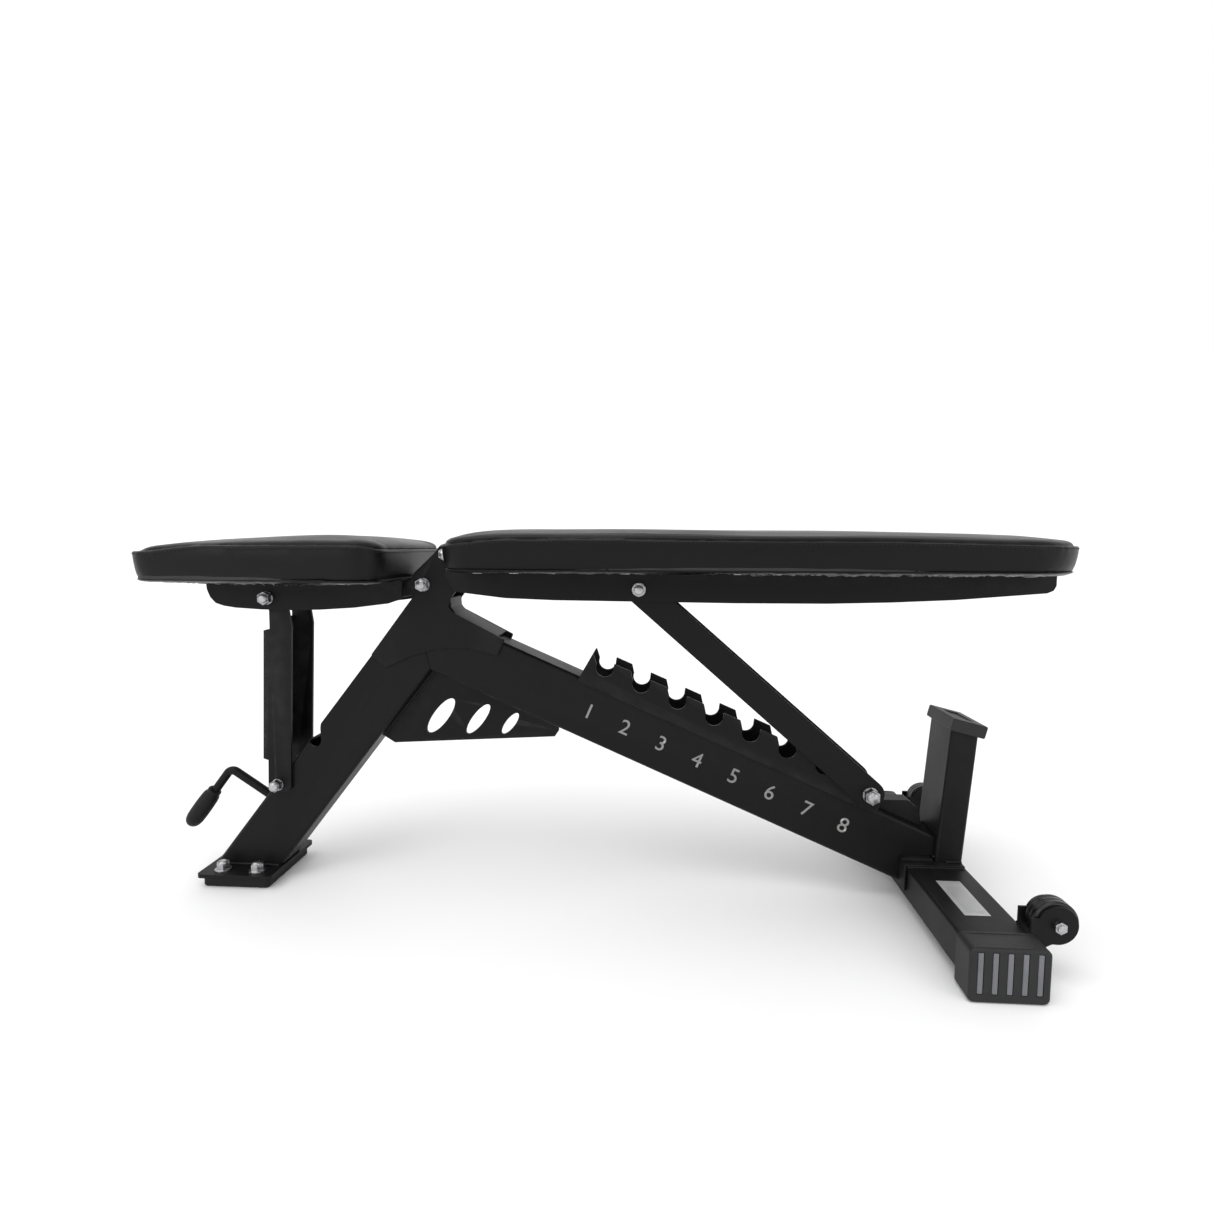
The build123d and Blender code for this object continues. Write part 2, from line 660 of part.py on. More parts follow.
# ---------------------------------------------------------------- back rest
back_pad = pad_outline(BACK_PAD_FRONT, PAD_HALF, BACK_PAD_REAR, PAD_HALF, 35, 75, BACK_PAD_Z[0], BACK_PAD_Z[1])
back_pad = fillet(back_pad.faces().sort_by(Axis.Z)[-1].edges(), 12)
back_pad = fillet(back_pad.faces().sort_by(Axis.Z)[0].edges(), 5)
save("back_pad", back_pad)
back_board = pad_outline(
    BACK_PAD_FRONT + 5, PAD_HALF - 5, BACK_PAD_REAR - 5, PAD_HALF - 5, 30, 70,
    BACK_BOARD_Z[0], BACK_BOARD_Z[1])
save("back_board", back_board)

back_bracket_outline = [
    (-171.6, 396.2),
    (-169.0, BACK_BOARD_Z[0]),
    (540.0, BACK_BOARD_Z[0]),
    (540.0, 388.0),
    (537.0, 382.5),
    (530.0, 379.5),
    (428.6, 371.0),
    (356.0, 367.5),
    (284.3, 365.5),
    (174.0, 365.2),
    (63.7, 366.0),
    (-38.1, 367.1),
    (-97.7, 369.2),
    (-149.4, 375.3),
    (-159.2, 376.8),
]
for side, name in ((-1, "back_bracket_left"), (1, "back_bracket_right")):
    low = min(side * BRACKET_PLATE[0], side * BRACKET_PLATE[1])
    high = max(side * BRACKET_PLATE[0], side * BRACKET_PLATE[1])
    plate = side_solid(back_bracket_outline, low, high)
    plate = plate - disc(STRUT_PIVOT, FIXED_R, low - 1, high + 1)
    tab_low = min(side * 19.0, side * BRACKET_PLATE[0])
    tab_high = max(side * 19.0, side * BRACKET_PLATE[0])
    for x in (-40.0, 200.0, 470.0):
        plate = plate + block(x - 16, x + 16, tab_low, tab_high, BACK_BOARD_Z[0] - 4, BACK_BOARD_Z[0])
    save(name, plate)

back_lug = disc(BACK_PIVOT, 12.0, -24.5, 24.5)
for y_low, y_high in ((-24.5, -18.5), (18.5, 24.5)):
    lug = side_solid(
        [
            (BACK_PIVOT[0] - 10.8, BACK_PIVOT[1] - 5),
            (-158.5, 375.5),
            (-132.0, 375.5),
            (-132.0, 399.5),
            (-158.0, 399.5),
            (BACK_PIVOT[0] + 11.8, BACK_PIVOT[1] - 2),
        ],
        y_low,
        y_high,
    )
    back_lug = back_lug + lug
back_lug = back_lug + block(-140, -132, -BRACKET_PLATE[0], BRACKET_PLATE[0], 377, 399.5)
back_lug = back_lug - disc(BACK_PIVOT, RUNNING_R, -30, 30)
save("back_hinge_lug", back_lug)
save("back_rear_tie", block(505, 512, -BRACKET_PLATE[0], BRACKET_PLATE[0], 384, BACK_BOARD_Z[0] - 0.5))
save("strut_pivot_bolt", cross_bolt(STRUT_PIVOT, BRACKET_PLATE[1], BOLT_R, NUT_FLAT))
back_screws = []
for x in (-40.0, 200.0, 470.0):
    for y in (-27.0, 27.0):
        back_screws.append(Pos(x, y, BACK_BOARD_Z[0] - 6.5) * Cylinder(6, 5))
save("back_board_screws", back_screws)

# ---------------------------------------------------------------- strut
strut_angle = math.degrees(math.atan2(ROLLER_AXIS[1] - STRUT_PIVOT[1], ROLLER_AXIS[0] - STRUT_PIVOT[0]))
strut_half = 17.0
strut_outline = [
    on_line(STRUT_PIVOT, strut_angle, 0, strut_half),
    on_line(STRUT_PIVOT, strut_angle, 0, -strut_half),
    on_line(ROLLER_AXIS, strut_angle, 0, -strut_half),
    on_line(ROLLER_AXIS, strut_angle, 0, strut_half),
]
for side, name in ((-1, "strut_plate_left"), (1, "strut_plate_right")):
    low = min(side * STRUT_PLATE[0], side * STRUT_PLATE[1])
    high = max(side * STRUT_PLATE[0], side * STRUT_PLATE[1])
    plate = side_solid(strut_outline, low, high)
    plate = plate + disc(STRUT_PIVOT, strut_half, low, high) + disc(ROLLER_AXIS, strut_half, low, high)
    plate = plate - disc(STRUT_PIVOT, RUNNING_R, low - 1, high + 1)
    plate = plate - disc(ROLLER_AXIS, 6.2, low - 1, high + 1)
    save(name, plate)
brace_outline = [
    on_line(STRUT_PIVOT, strut_angle, 110, 3),
    on_line(STRUT_PIVOT, strut_angle, 110, -3),
    on_line(STRUT_PIVOT, strut_angle, 190, -3),
    on_line(STRUT_PIVOT, strut_angle, 190, 3),
]
save("strut_brace", side_solid(brace_outline, -STRUT_PLATE[0], STRUT_PLATE[0]))
roller = disc(ROLLER_AXIS, ROLLER_RADIUS, -30.9, 30.9) - disc(ROLLER_AXIS, 6.2, -40, 40)
save("strut_roller", roller)
save("roller_bolt", cross_bolt(ROLLER_AXIS, STRUT_PLATE[1], 6.0, 16.0))
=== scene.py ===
import json
import math

import bmesh
import bpy
from mathutils import Matrix, Vector, noise


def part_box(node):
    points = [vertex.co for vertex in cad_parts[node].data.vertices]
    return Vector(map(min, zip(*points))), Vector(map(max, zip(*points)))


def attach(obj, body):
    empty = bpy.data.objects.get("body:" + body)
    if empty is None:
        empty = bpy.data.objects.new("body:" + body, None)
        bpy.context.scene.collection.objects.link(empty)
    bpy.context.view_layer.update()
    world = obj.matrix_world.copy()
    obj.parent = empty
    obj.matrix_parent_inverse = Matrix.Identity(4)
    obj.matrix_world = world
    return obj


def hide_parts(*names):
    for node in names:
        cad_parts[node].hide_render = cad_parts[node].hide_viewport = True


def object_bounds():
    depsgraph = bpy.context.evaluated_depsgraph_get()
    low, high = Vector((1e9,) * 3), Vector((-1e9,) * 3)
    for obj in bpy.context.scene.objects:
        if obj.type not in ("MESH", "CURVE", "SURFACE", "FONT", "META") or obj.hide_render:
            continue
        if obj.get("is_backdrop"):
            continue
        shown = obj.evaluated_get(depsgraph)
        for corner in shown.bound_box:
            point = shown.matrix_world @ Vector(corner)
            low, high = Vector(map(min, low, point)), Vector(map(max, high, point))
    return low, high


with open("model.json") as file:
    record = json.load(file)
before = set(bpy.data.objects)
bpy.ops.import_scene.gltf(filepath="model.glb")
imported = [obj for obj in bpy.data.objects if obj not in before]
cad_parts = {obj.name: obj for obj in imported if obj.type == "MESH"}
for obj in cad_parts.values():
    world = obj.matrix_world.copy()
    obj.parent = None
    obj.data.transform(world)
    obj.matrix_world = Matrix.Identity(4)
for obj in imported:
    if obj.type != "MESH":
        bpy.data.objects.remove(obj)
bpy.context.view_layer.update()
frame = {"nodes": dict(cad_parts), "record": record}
nodes = frame["nodes"]

# Shared sizes, in metres. Side-view points are (x, z).
BACK_PIVOT = (-0.1715, 0.4217)
SEAT_PIVOT = (-0.2012, 0.3842)
STRUT_PIVOT = (0.0636, 0.3806)
ROLLER_AXIS = (0.3424, 0.1359)
SUPPORT_PIVOT = (-0.3938, 0.3671)
SUPPORT_PIN = (-0.3951, 0.1278)
WHEEL_AXIS = (0.4825, 0.060)
LEG_POINT, LEG_ANGLE = (-0.3382, 0.1519), 52.24
BEAM_POINT, BEAM_ANGLE = (0.2365, 0.1269), -23.5
TUBE_HALF = 0.025
FIRST_NOTCH_U = -0.2588
NOTCH_PITCH = 0.0485
NOTCH_COUNT = 7


# ------------------------------------------------------------------ helpers
def direction(angle):
    return (math.cos(math.radians(angle)), math.sin(math.radians(angle)))


def on_line(point, angle, u, h):
    c, s = direction(angle)
    return (point[0] + u * c - h * s, point[1] + u * s + h * c)


def crossing(point_a, angle_a, point_b, angle_b):
    """Where two lines in the side view meet."""
    da, db = direction(angle_a), direction(angle_b)
    rx, rz = point_b[0] - point_a[0], point_b[1] - point_a[1]
    t = (db[0] * rz - db[1] * rx) / (db[0] * da[1] - db[1] * da[0])
    return (point_a[0] + t * da[0], point_a[1] + t * da[1])


def smooth_step(x, low, high):
    t = min(max((x - low) / (high - low), 0.0), 1.0)
    return t * t * (3 - 2 * t)


def add_piece(name, bm, body, material, smooth=True):
    """Turns a bmesh into an object that rides on a body."""
    mesh = bpy.data.meshes.new(name)
    bm.normal_update()
    bm.to_mesh(mesh)
    bm.free()
    for face in mesh.polygons:
        face.use_smooth = smooth
    mesh.materials.append(material)
    piece = bpy.data.objects.new(name, mesh)
    bpy.context.scene.collection.objects.link(piece)
    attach(piece, body)
    return piece


def frame_at(axis):
    """Two unit vectors square to an axis and to each other."""
    axis = axis.normalized()
    helper = Vector((0, 1, 0)) if abs(axis.y) < 0.9 else Vector((1, 0, 0))
    side = axis.cross(helper).normalized()
    return side, axis.cross(side).normalized()


def lathe(bm, origin, axis, profile, count=48):
    """Turns a closed profile of (distance along the axis, radius) round the axis."""
    origin, axis = Vector(origin), Vector(axis).normalized()
    side, up = frame_at(axis)
    rings = []
    for along, radius in profile:
        centre = origin + axis * along
        if radius < 1e-6:
            rings.append([bm.verts.new(centre)])
            continue
        ring = []
        for i in range(count):
            a = 2 * math.pi * i / count
            ring.append(bm.verts.new(centre + (side * math.cos(a) + up * math.sin(a)) * radius))
        rings.append(ring)
    for a, b in zip(rings, rings[1:]):
        for i in range(count):
            j = (i + 1) % count
            if len(a) == 1 and len(b) == 1:
                continue
            if len(a) == 1:
                bm.faces.new((a[0], b[j], b[i]))
            elif len(b) == 1:
                bm.faces.new((a[i], a[j], b[0]))
            else:
                bm.faces.new((a[i], a[j], b[j], b[i]))


def sweep(bm, points, radii, count=10, flat=1.0):
    """Tube along a list of points, with a radius at each one and flat caps at the ends."""
    points = [Vector(p) for p in points]
    rings = []
    previous = None
    for k, point in enumerate(points):
        ahead = points[min(k + 1, len(points) - 1)]
        behind = points[max(k - 1, 0)]
        tangent = (ahead - behind).normalized()
        if previous is None:
            side, up = frame_at(tangent)
        else:
            side = (previous - tangent * previous.dot(tangent)).normalized()
            up = tangent.cross(side).normalized()
        previous = side
        ring = []
        for i in range(count):
            a = 2 * math.pi * i / count
            ring.append(bm.verts.new(point + (side * math.cos(a) + up * math.sin(a) * flat) * radii[k]))
        rings.append(ring)
    for a, b in zip(rings, rings[1:]):
        for i in range(count):
            j = (i + 1) % count
            bm.faces.new((a[i], a[j], b[j], b[i]))
    bm.faces.new(list(reversed(rings[0])))
    bm.faces.new(rings[-1])


def bead(bm, corners, radius=0.0021, pitch=0.0034, start=0.0):
    """Weld bead along straight runs, with the overlapping ripples a torch leaves."""
    corners = [Vector(c) for c in corners]
    points, radii = [], []
    travelled = start
    for a, b in zip(corners, corners[1:]):
        length = (b - a).length
        steps = max(int(length / (pitch / 5)), 2)
        for s in range(steps + 1):
            if s == 0 and points:
                continue
            t = s / steps
            spot = a.lerp(b, t)
            phase = ((travelled + length * t) / pitch) % 1.0
            wander = noise.noise(spot * 180) * radius * 0.22
            points.append(spot + Vector((wander, wander * 0.5, wander)))
            radii.append(radius * (0.80 + 0.26 * math.sqrt(max(1 - (2 * phase - 1) ** 2, 0))))
        travelled += length
    radii[0] *= 0.5
    radii[-1] *= 0.5
    sweep(bm, points, radii)


def rounded_bar(bm, low, high, radius, steps=3):
    """Box with every edge rounded."""
    low, high = Vector(low), Vector(high)
    made = bmesh.ops.create_cube(bm, size=1.0)["verts"]
    for v in made:
        for k in range(3):
            v.co[k] = low[k] if v.co[k] < 0 else high[k]
    edges = set()
    for v in made:
        edges.update(v.link_edges)
    bmesh.ops.bevel(bm, geom=list(edges), offset=radius, segments=steps, profile=0.5, affect="EDGES")


# ------------------------------------------------------------------ materials
class Shader:
    """Small builder for a node material."""

    def __init__(self, name, color, metallic=0.0, roughness=0.5):
        self.material = bpy.data.materials.new(name)
        self.material.use_nodes = True
        self.tree = self.material.node_tree
        self.bsdf = self.tree.nodes["Principled BSDF"]
        self.color = color
        self.bsdf.inputs["Base Color"].default_value = (*color, 1)
        self.bsdf.inputs["Metallic"].default_value = metallic
        self.bsdf.inputs["Roughness"].default_value = roughness
        self.coordinates = self.node("ShaderNodeTexCoord").outputs["Object"]

    def node(self, kind, **settings):
        made = self.tree.nodes.new(kind)
        for key, value in settings.items():
            setattr(made, key, value)
        return made

    def link(self, a, b):
        self.tree.links.new(a, b)

    def noise(self, scale, detail=4.0, roughness=0.55, stretch=None):
        made = self.node("ShaderNodeTexNoise")
        made.inputs["Scale"].default_value = scale
        made.inputs["Detail"].default_value = detail
        made.inputs["Roughness"].default_value = roughness
        source = self.coordinates
        if stretch:
            mapping = self.node("ShaderNodeMapping")
            mapping.inputs["Scale"].default_value = stretch
            self.link(self.coordinates, mapping.inputs["Vector"])
            source = mapping.outputs["Vector"]
        self.link(source, made.inputs["Vector"])
        return made.outputs["Fac"]

    def cells(self, scale, feature="DISTANCE_TO_EDGE"):
        made = self.node("ShaderNodeTexVoronoi", feature=feature)
        made.inputs["Scale"].default_value = scale
        self.link(self.coordinates, made.inputs["Vector"])
        return made.outputs["Distance"]

    def ramp(self, source, stops):
        made = self.node("ShaderNodeValToRGB")
        ramp = made.color_ramp
        while len(ramp.elements) < len(stops):
            ramp.elements.new(0.5)
        for element, (position, value) in zip(ramp.elements, stops):
            element.position = position
            element.color = (*value, 1) if isinstance(value, tuple) else (value, value, value, 1)
        self.link(source, made.inputs["Fac"])
        return made.outputs["Color"]

    def span(self, source, low, high, from_low=0.3, from_high=0.7):
        made = self.node("ShaderNodeMapRange")
        made.inputs["From Min"].default_value = from_low
        made.inputs["From Max"].default_value = from_high
        made.inputs["To Min"].default_value = low
        made.inputs["To Max"].default_value = high
        self.link(source, made.inputs["Value"])
        return made.outputs["Result"]

    def maths(self, operation, a, b):
        made = self.node("ShaderNodeMath", operation=operation)
        for socket, value in ((made.inputs[0], a), (made.inputs[1], b)):
            if isinstance(value, (int, float)):
                socket.default_value = value
            else:
                self.link(value, socket)
        return made.outputs[0]

    def mix(self, factor, a, b):
        made = self.node("ShaderNodeMix", data_type="RGBA")
        self.link(factor, made.inputs["Factor"])
        for socket, value in ((made.inputs["A"], a), (made.inputs["B"], b)):
            if isinstance(value, tuple):
                socket.default_value = (*value, 1)
            else:
                self.link(value, socket)
        return made.outputs["Result"]

    def bump(self, layers):
        """layers: (height, distance in metres, strength)"""
        normal = None
        for height, distance, strength in layers:
            made = self.node("ShaderNodeBump")
            made.inputs["Strength"].default_value = strength
            made.inputs["Distance"].default_value = distance
            self.link(height, made.inputs["Height"])
            if normal:
                self.link(normal, made.inputs["Normal"])
            normal = made.outputs["Normal"]
        self.link(normal, self.bsdf.inputs["Normal"])

    def shades(self, source, spread):
        """Base colour wandering a little darker and lighter."""
        dark = tuple(c * (1 - spread) for c in self.color)
        light = tuple(min(c * (1 + spread), 1) for c in self.color)
        return self.ramp(source, [(0.32, dark), (0.68, light)])

    def worn_edges(self, low, high):
        made = self.node("ShaderNodeNewGeometry")
        return self.span(made.outputs["Pointiness"], 0.0, 1.0, low, high)


def paint_material(name, color, rough, peel=1.0):
    """Satin powder coat: orange peel, soft mottling, edges rubbed lighter."""
    s = Shader(name, color, 0.0, rough)
    s.bsdf.inputs["Specular IOR Level"].default_value = 0.14
    mottling = s.noise(9.0, 3.0)
    grains = s.noise(1500.0, 2.0)
    peel_noise = s.noise(420.0, 2.5)
    base = s.shades(mottling, 0.16)
    edge = s.maths("MULTIPLY", s.worn_edges(0.53, 0.60), s.span(s.noise(60.0, 5.0), 0.15, 0.9))
    rubbed = tuple(min(c * 2.6 + 0.01, 1) for c in color)
    s.link(s.mix(edge, base, rubbed), s.bsdf.inputs["Base Color"])
    s.link(s.span(s.maths("ADD", mottling, s.maths("MULTIPLY", grains, 0.6)),
                  rough - 0.07, rough + 0.09, 0.55, 1.05), s.bsdf.inputs["Roughness"])
    s.bump([(peel_noise, 0.00022 * peel, 0.55), (grains, 0.00006 * peel, 0.5)])
    return s.material


def vinyl_material(name, color, rough, crease=0.0):
    """Leather-look vinyl: pebbled cells with painted shade darkening the valleys between them, fine pores
    and slow sheen changes.
    """
    s = Shader(name, color, 0.0, rough)
    s.bsdf.inputs["Specular IOR Level"].default_value = 0.17
    pebble = s.span(s.cells(620.0), 0.0, 1.0, 0.0, 0.10)
    pores = s.noise(2600.0, 2.0)
    broad = s.noise(7.0, 3.0)
    creases = s.noise(46.0, 5.0, 0.62, (1.0, 2.6, 1.6))
    # Colour: random tone, darkened to 55% in the valleys between the pebbles as painted shade.
    grain = s.mix(pebble, tuple(c * 0.55 for c in color), s.shades(broad, 0.20))
    s.link(grain, s.bsdf.inputs["Base Color"])
    s.link(s.span(s.maths("ADD", broad, s.maths("MULTIPLY", pores, 0.3)),
                  rough - 0.05, rough + 0.08, 0.45, 0.85), s.bsdf.inputs["Roughness"])
    layers = [(pebble, 0.00012, 0.40), (pores, 0.00005, 0.35), (creases, 0.0009 + crease, 0.22)]
    s.bump(layers)
    return s.material


def metal_material(name, color, rough, scale=900.0):
    """Zinc-plated or turned steel: fine marks and patchy passivation."""
    s = Shader(name, color, 1.0, rough)
    patches = s.noise(260.0, 4.0)
    marks = s.noise(scale, 3.0, 0.6, (1.0, 7.0, 1.0))
    base = s.ramp(patches, [(0.30, tuple(c * 0.72 for c in color)), (0.50, color),
                            (0.72, tuple(min(c * 1.14, 1) for c in color))])
    s.link(base, s.bsdf.inputs["Base Color"])
    s.link(s.span(s.maths("ADD", patches, s.maths("MULTIPLY", marks, 0.5)),
                  rough - 0.08, rough + 0.14, 0.5, 1.0), s.bsdf.inputs["Roughness"])
    s.bump([(marks, 0.00006, 0.5), (patches, 0.00008, 0.3)])
    return s.material


def plastic_material(name, color, rough, texture=700.0, depth=0.00014, specular=0.2):
    """Moulded plastic or rubber with a spark-eroded texture."""
    s = Shader(name, color, 0.0, rough)
    s.bsdf.inputs["Specular IOR Level"].default_value = specular
    broad = s.noise(16.0, 3.0)
    texture_noise = s.noise(texture, 3.0)
    speck = s.span(s.noise(2400.0, 1.0), 0.0, 1.0, 0.45, 0.75)
    base = s.mix(speck, s.shades(broad, 0.22), tuple(min(c * 1.5 + 0.004, 1) for c in color))
    s.link(base, s.bsdf.inputs["Base Color"])
    s.link(s.span(s.maths("ADD", broad, s.maths("MULTIPLY", texture_noise, 0.5)),
                  rough - 0.07, rough + 0.08, 0.5, 1.0), s.bsdf.inputs["Roughness"])
    s.bump([(texture_noise, depth, 0.6), (speck, 0.00004, 0.3)])
    return s.material


def wood_material(name, color):
    """Birch plywood board: long grain, pores and darker glue lines on the edges."""
    s = Shader(name, color, 0.0, 0.62)
    grain = s.noise(30.0, 6.0, 0.62, (0.7, 12.0, 12.0))
    pores = s.noise(380.0, 3.0, 0.6, (0.12, 1.0, 1.0))
    plies = s.node("ShaderNodeTexWave", wave_type="BANDS", bands_direction="Z")
    plies.inputs["Scale"].default_value = 220.0
    plies.inputs["Distortion"].default_value = 1.2
    s.link(s.coordinates, plies.inputs["Vector"])
    base = s.ramp(grain, [(0.30, tuple(c * 0.62 for c in color)), (0.52, color),
                          (0.75, tuple(min(c * 1.25, 1) for c in color))])
    s.link(s.mix(s.span(plies.outputs["Fac"], 0.0, 0.35, 0.55, 0.95), base,
                 tuple(c * 0.42 for c in color)), s.bsdf.inputs["Base Color"])
    s.link(s.span(pores, 0.5, 0.75), s.bsdf.inputs["Roughness"])
    s.bump([(grain, 0.0002, 0.4), (pores, 0.00012, 0.4)])
    return s.material


def label_material(name, color):
    """Silver film with ruled lines and a faint border, nothing to read on it."""
    s = Shader(name, color, 0.25, 0.38)
    parts = s.node("ShaderNodeSeparateXYZ")
    s.link(s.coordinates, parts.inputs["Vector"])
    low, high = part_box("rating_label")
    across = s.maths("SUBTRACT", parts.outputs["X"], low[0])
    rows = s.maths("FRACT", s.maths("MULTIPLY", across, 330.0), 0.0)
    line = s.maths("GREATER_THAN", rows, 0.62)
    inside = s.maths("GREATER_THAN", s.maths("SUBTRACT", parts.outputs["X"], low[0]), 0.003)
    inside = s.maths("MULTIPLY", inside, s.maths("LESS_THAN", parts.outputs["X"], high[0] - 0.003))
    inside = s.maths("MULTIPLY", inside, s.maths("GREATER_THAN", parts.outputs["Y"], low[1] + 0.004))
    inside = s.maths("MULTIPLY", inside, s.maths("LESS_THAN", parts.outputs["Y"], high[1] - 0.014))
    breaks = s.maths("GREATER_THAN", s.noise(240.0, 1.0, 0.5, (0.35, 1.0, 1.0)), 0.42)
    ink = s.maths("MULTIPLY", s.maths("MULTIPLY", line, inside), breaks)
    s.link(s.mix(s.maths("MULTIPLY", ink, 0.55), s.shades(s.noise(40.0), 0.08), (0.10, 0.10, 0.11)),
           s.bsdf.inputs["Base Color"])
    s.link(s.span(s.noise(300.0), 0.28, 0.46), s.bsdf.inputs["Roughness"])
    s.bump([(s.noise(180.0, 4.0), 0.00012, 0.4)])
    return s.material


PAINT = paint_material("frame_paint", (0.0050, 0.0050, 0.0054), 0.42)
WELD_PAINT = paint_material("weld_paint", (0.0048, 0.0048, 0.0052), 0.36, 0.5)
MARK_PAINT = paint_material("mark_paint", (0.24, 0.24, 0.235), 0.55, 0.4)
VINYL = vinyl_material("pad_vinyl", (0.0024, 0.0024, 0.0028), 0.32)
WRAP_VINYL = vinyl_material("wrap_vinyl", (0.0030, 0.0030, 0.0034), 0.26, 0.001)
THREAD = plastic_material("seam_thread", (0.006, 0.006, 0.0065), 0.55, 2400.0, 0.0002)
ZINC = metal_material("zinc_hardware", (0.42, 0.42, 0.43), 0.27)
ROLLER_STEEL = metal_material("roller_steel", (0.10, 0.10, 0.105), 0.36)
RUBBER = plastic_material("foot_rubber", (0.008, 0.008, 0.008), 0.66)
GRIP = plastic_material("grip_rubber", (0.0035, 0.0035, 0.0038), 0.50, 1100.0, 0.0006)
CAP = plastic_material("cap_plastic", (0.0135, 0.0135, 0.0140), 0.50, 900.0, 0.00025, 0.26)
# Cap strips: the cap plastic made glossier, with a much lighter base colour that is painted sheen standing
# in for their shine.
CAP_GLOSS_AND_PAINTED_SHEEN = plastic_material("cap_gloss_and_painted_sheen", (0.105, 0.107, 0.118), 0.22, 260.0, 0.0005, 0.6)
WHEEL = plastic_material("wheel_plastic", (0.0050, 0.0050, 0.0055), 0.26, 300.0, 0.0001, 0.35)
WOOD = wood_material("board", (0.011, 0.010, 0.0095))
LABEL = label_material("label_film", (0.42, 0.42, 0.42))

SLOT_MATERIALS = {
    "frame_paint": PAINT,
    "pad_vinyl": VINYL,
    "board": WOOD,
    "zinc_hardware": ZINC,
    "roller_steel": ROLLER_STEEL,
    "foot_rubber": RUBBER,
    "grip_rubber": GRIP,
    "cap_plastic": CAP,
    "wheel_plastic": WHEEL,
    "label_film": LABEL,
}

# ------------------------------------------------------------------ CAD nodes
# Every kept CAD node: its slot's material, plus a rounding of the sharp edges.
EDGE_ROUNDING = {
    "frame_paint": 0.0007,
    "zinc_hardware": 0.0004,
    "roller_steel": 0.0005,
    "foot_rubber": 0.0010,
    "cap_plastic": 0.0008,
    "wheel_plastic": 0.0006,
    "board": 0.0008,
}
for row in frame["record"]["subparts"]:
    node = nodes[row["node"]]
    material = SLOT_MATERIALS[row["material_slot"]]
    if node.data.materials:
        for i in range(len(node.data.materials)):
            node.data.materials[i] = material
    else:
        node.data.materials.append(material)
    width = EDGE_ROUNDING.get(row["material_slot"])
    if width:
        weld = node.modifiers.new("Weld", "WELD")
        weld.merge_threshold = 0.00001
        planar = node.modifiers.new("Planar", "DECIMATE")
        planar.decimate_type = "DISSOLVE"
        planar.angle_limit = math.radians(0.5)
        rounding = node.modifiers.new("Bevel", "BEVEL")
        rounding.width = width
        rounding.segments = 2
        rounding.limit_method = "ANGLE"
        rounding.angle_limit = math.radians(35)
        rounding.use_clamp_overlap = True
        normals = node.modifiers.new("Normals", "WEIGHTED_NORMAL")
        normals.keep_sharp = True


# ------------------------------------------------------------------ cushions
def outline(front, rear, front_half, rear_half, front_r, rear_r, inset,
            corner_steps=12, side_steps=60, end_steps=24):
    """Rounded outline seen from above, inset by some distance, always with the same number of points.
    The sides pull in slightly between the corners."""
    x0, x1 = front + inset, rear - inset
    h0, h1 = max(front_half - inset, 0.0005), max(rear_half - inset, 0.0005)
    r0 = max(min(front_r - inset * 0.8, h0 - 0.0003), 0.0002)
    r1 = max(min(rear_r - inset * 0.8, h1 - 0.0003), 0.0002)
    points = []

    def arc(cx, cy, radius, start):
        for i in range(corner_steps):
            a = math.radians(start + 90 * i / corner_steps)
            points.append((cx + radius * math.cos(a), cy + radius * math.sin(a)))

    def run(a, b, steps):
        for i in range(steps):
            t = i / steps
            points.append((a[0] + (b[0] - a[0]) * t, a[1] + (b[1] - a[1]) * t))

    arc(x1 - r1, -(h1 - r1), r1, -90)
    run((x1, -(h1 - r1)), (x1, h1 - r1), end_steps)
    arc(x1 - r1, h1 - r1, r1, 0)
    run((x1 - r1, h1), (x0 + r0, h0), side_steps)
    arc(x0 + r0, h0 - r0, r0, 90)
    run((x0, h0 - r0), (x0, -(h0 - r0)), end_steps)
    arc(x0 + r0, -(h0 - r0), r0, 180)
    run((x0 + r0, -h0), (x1 - r1, -h1), side_steps)
    pulled = []
    for x, y in points:
        t = min(max((x - x0) / (x1 - x0), 0), 1)
        pulled.append((x, y * (1 - 0.012 * math.sin(math.pi * t) ** 2)))
    return pulled


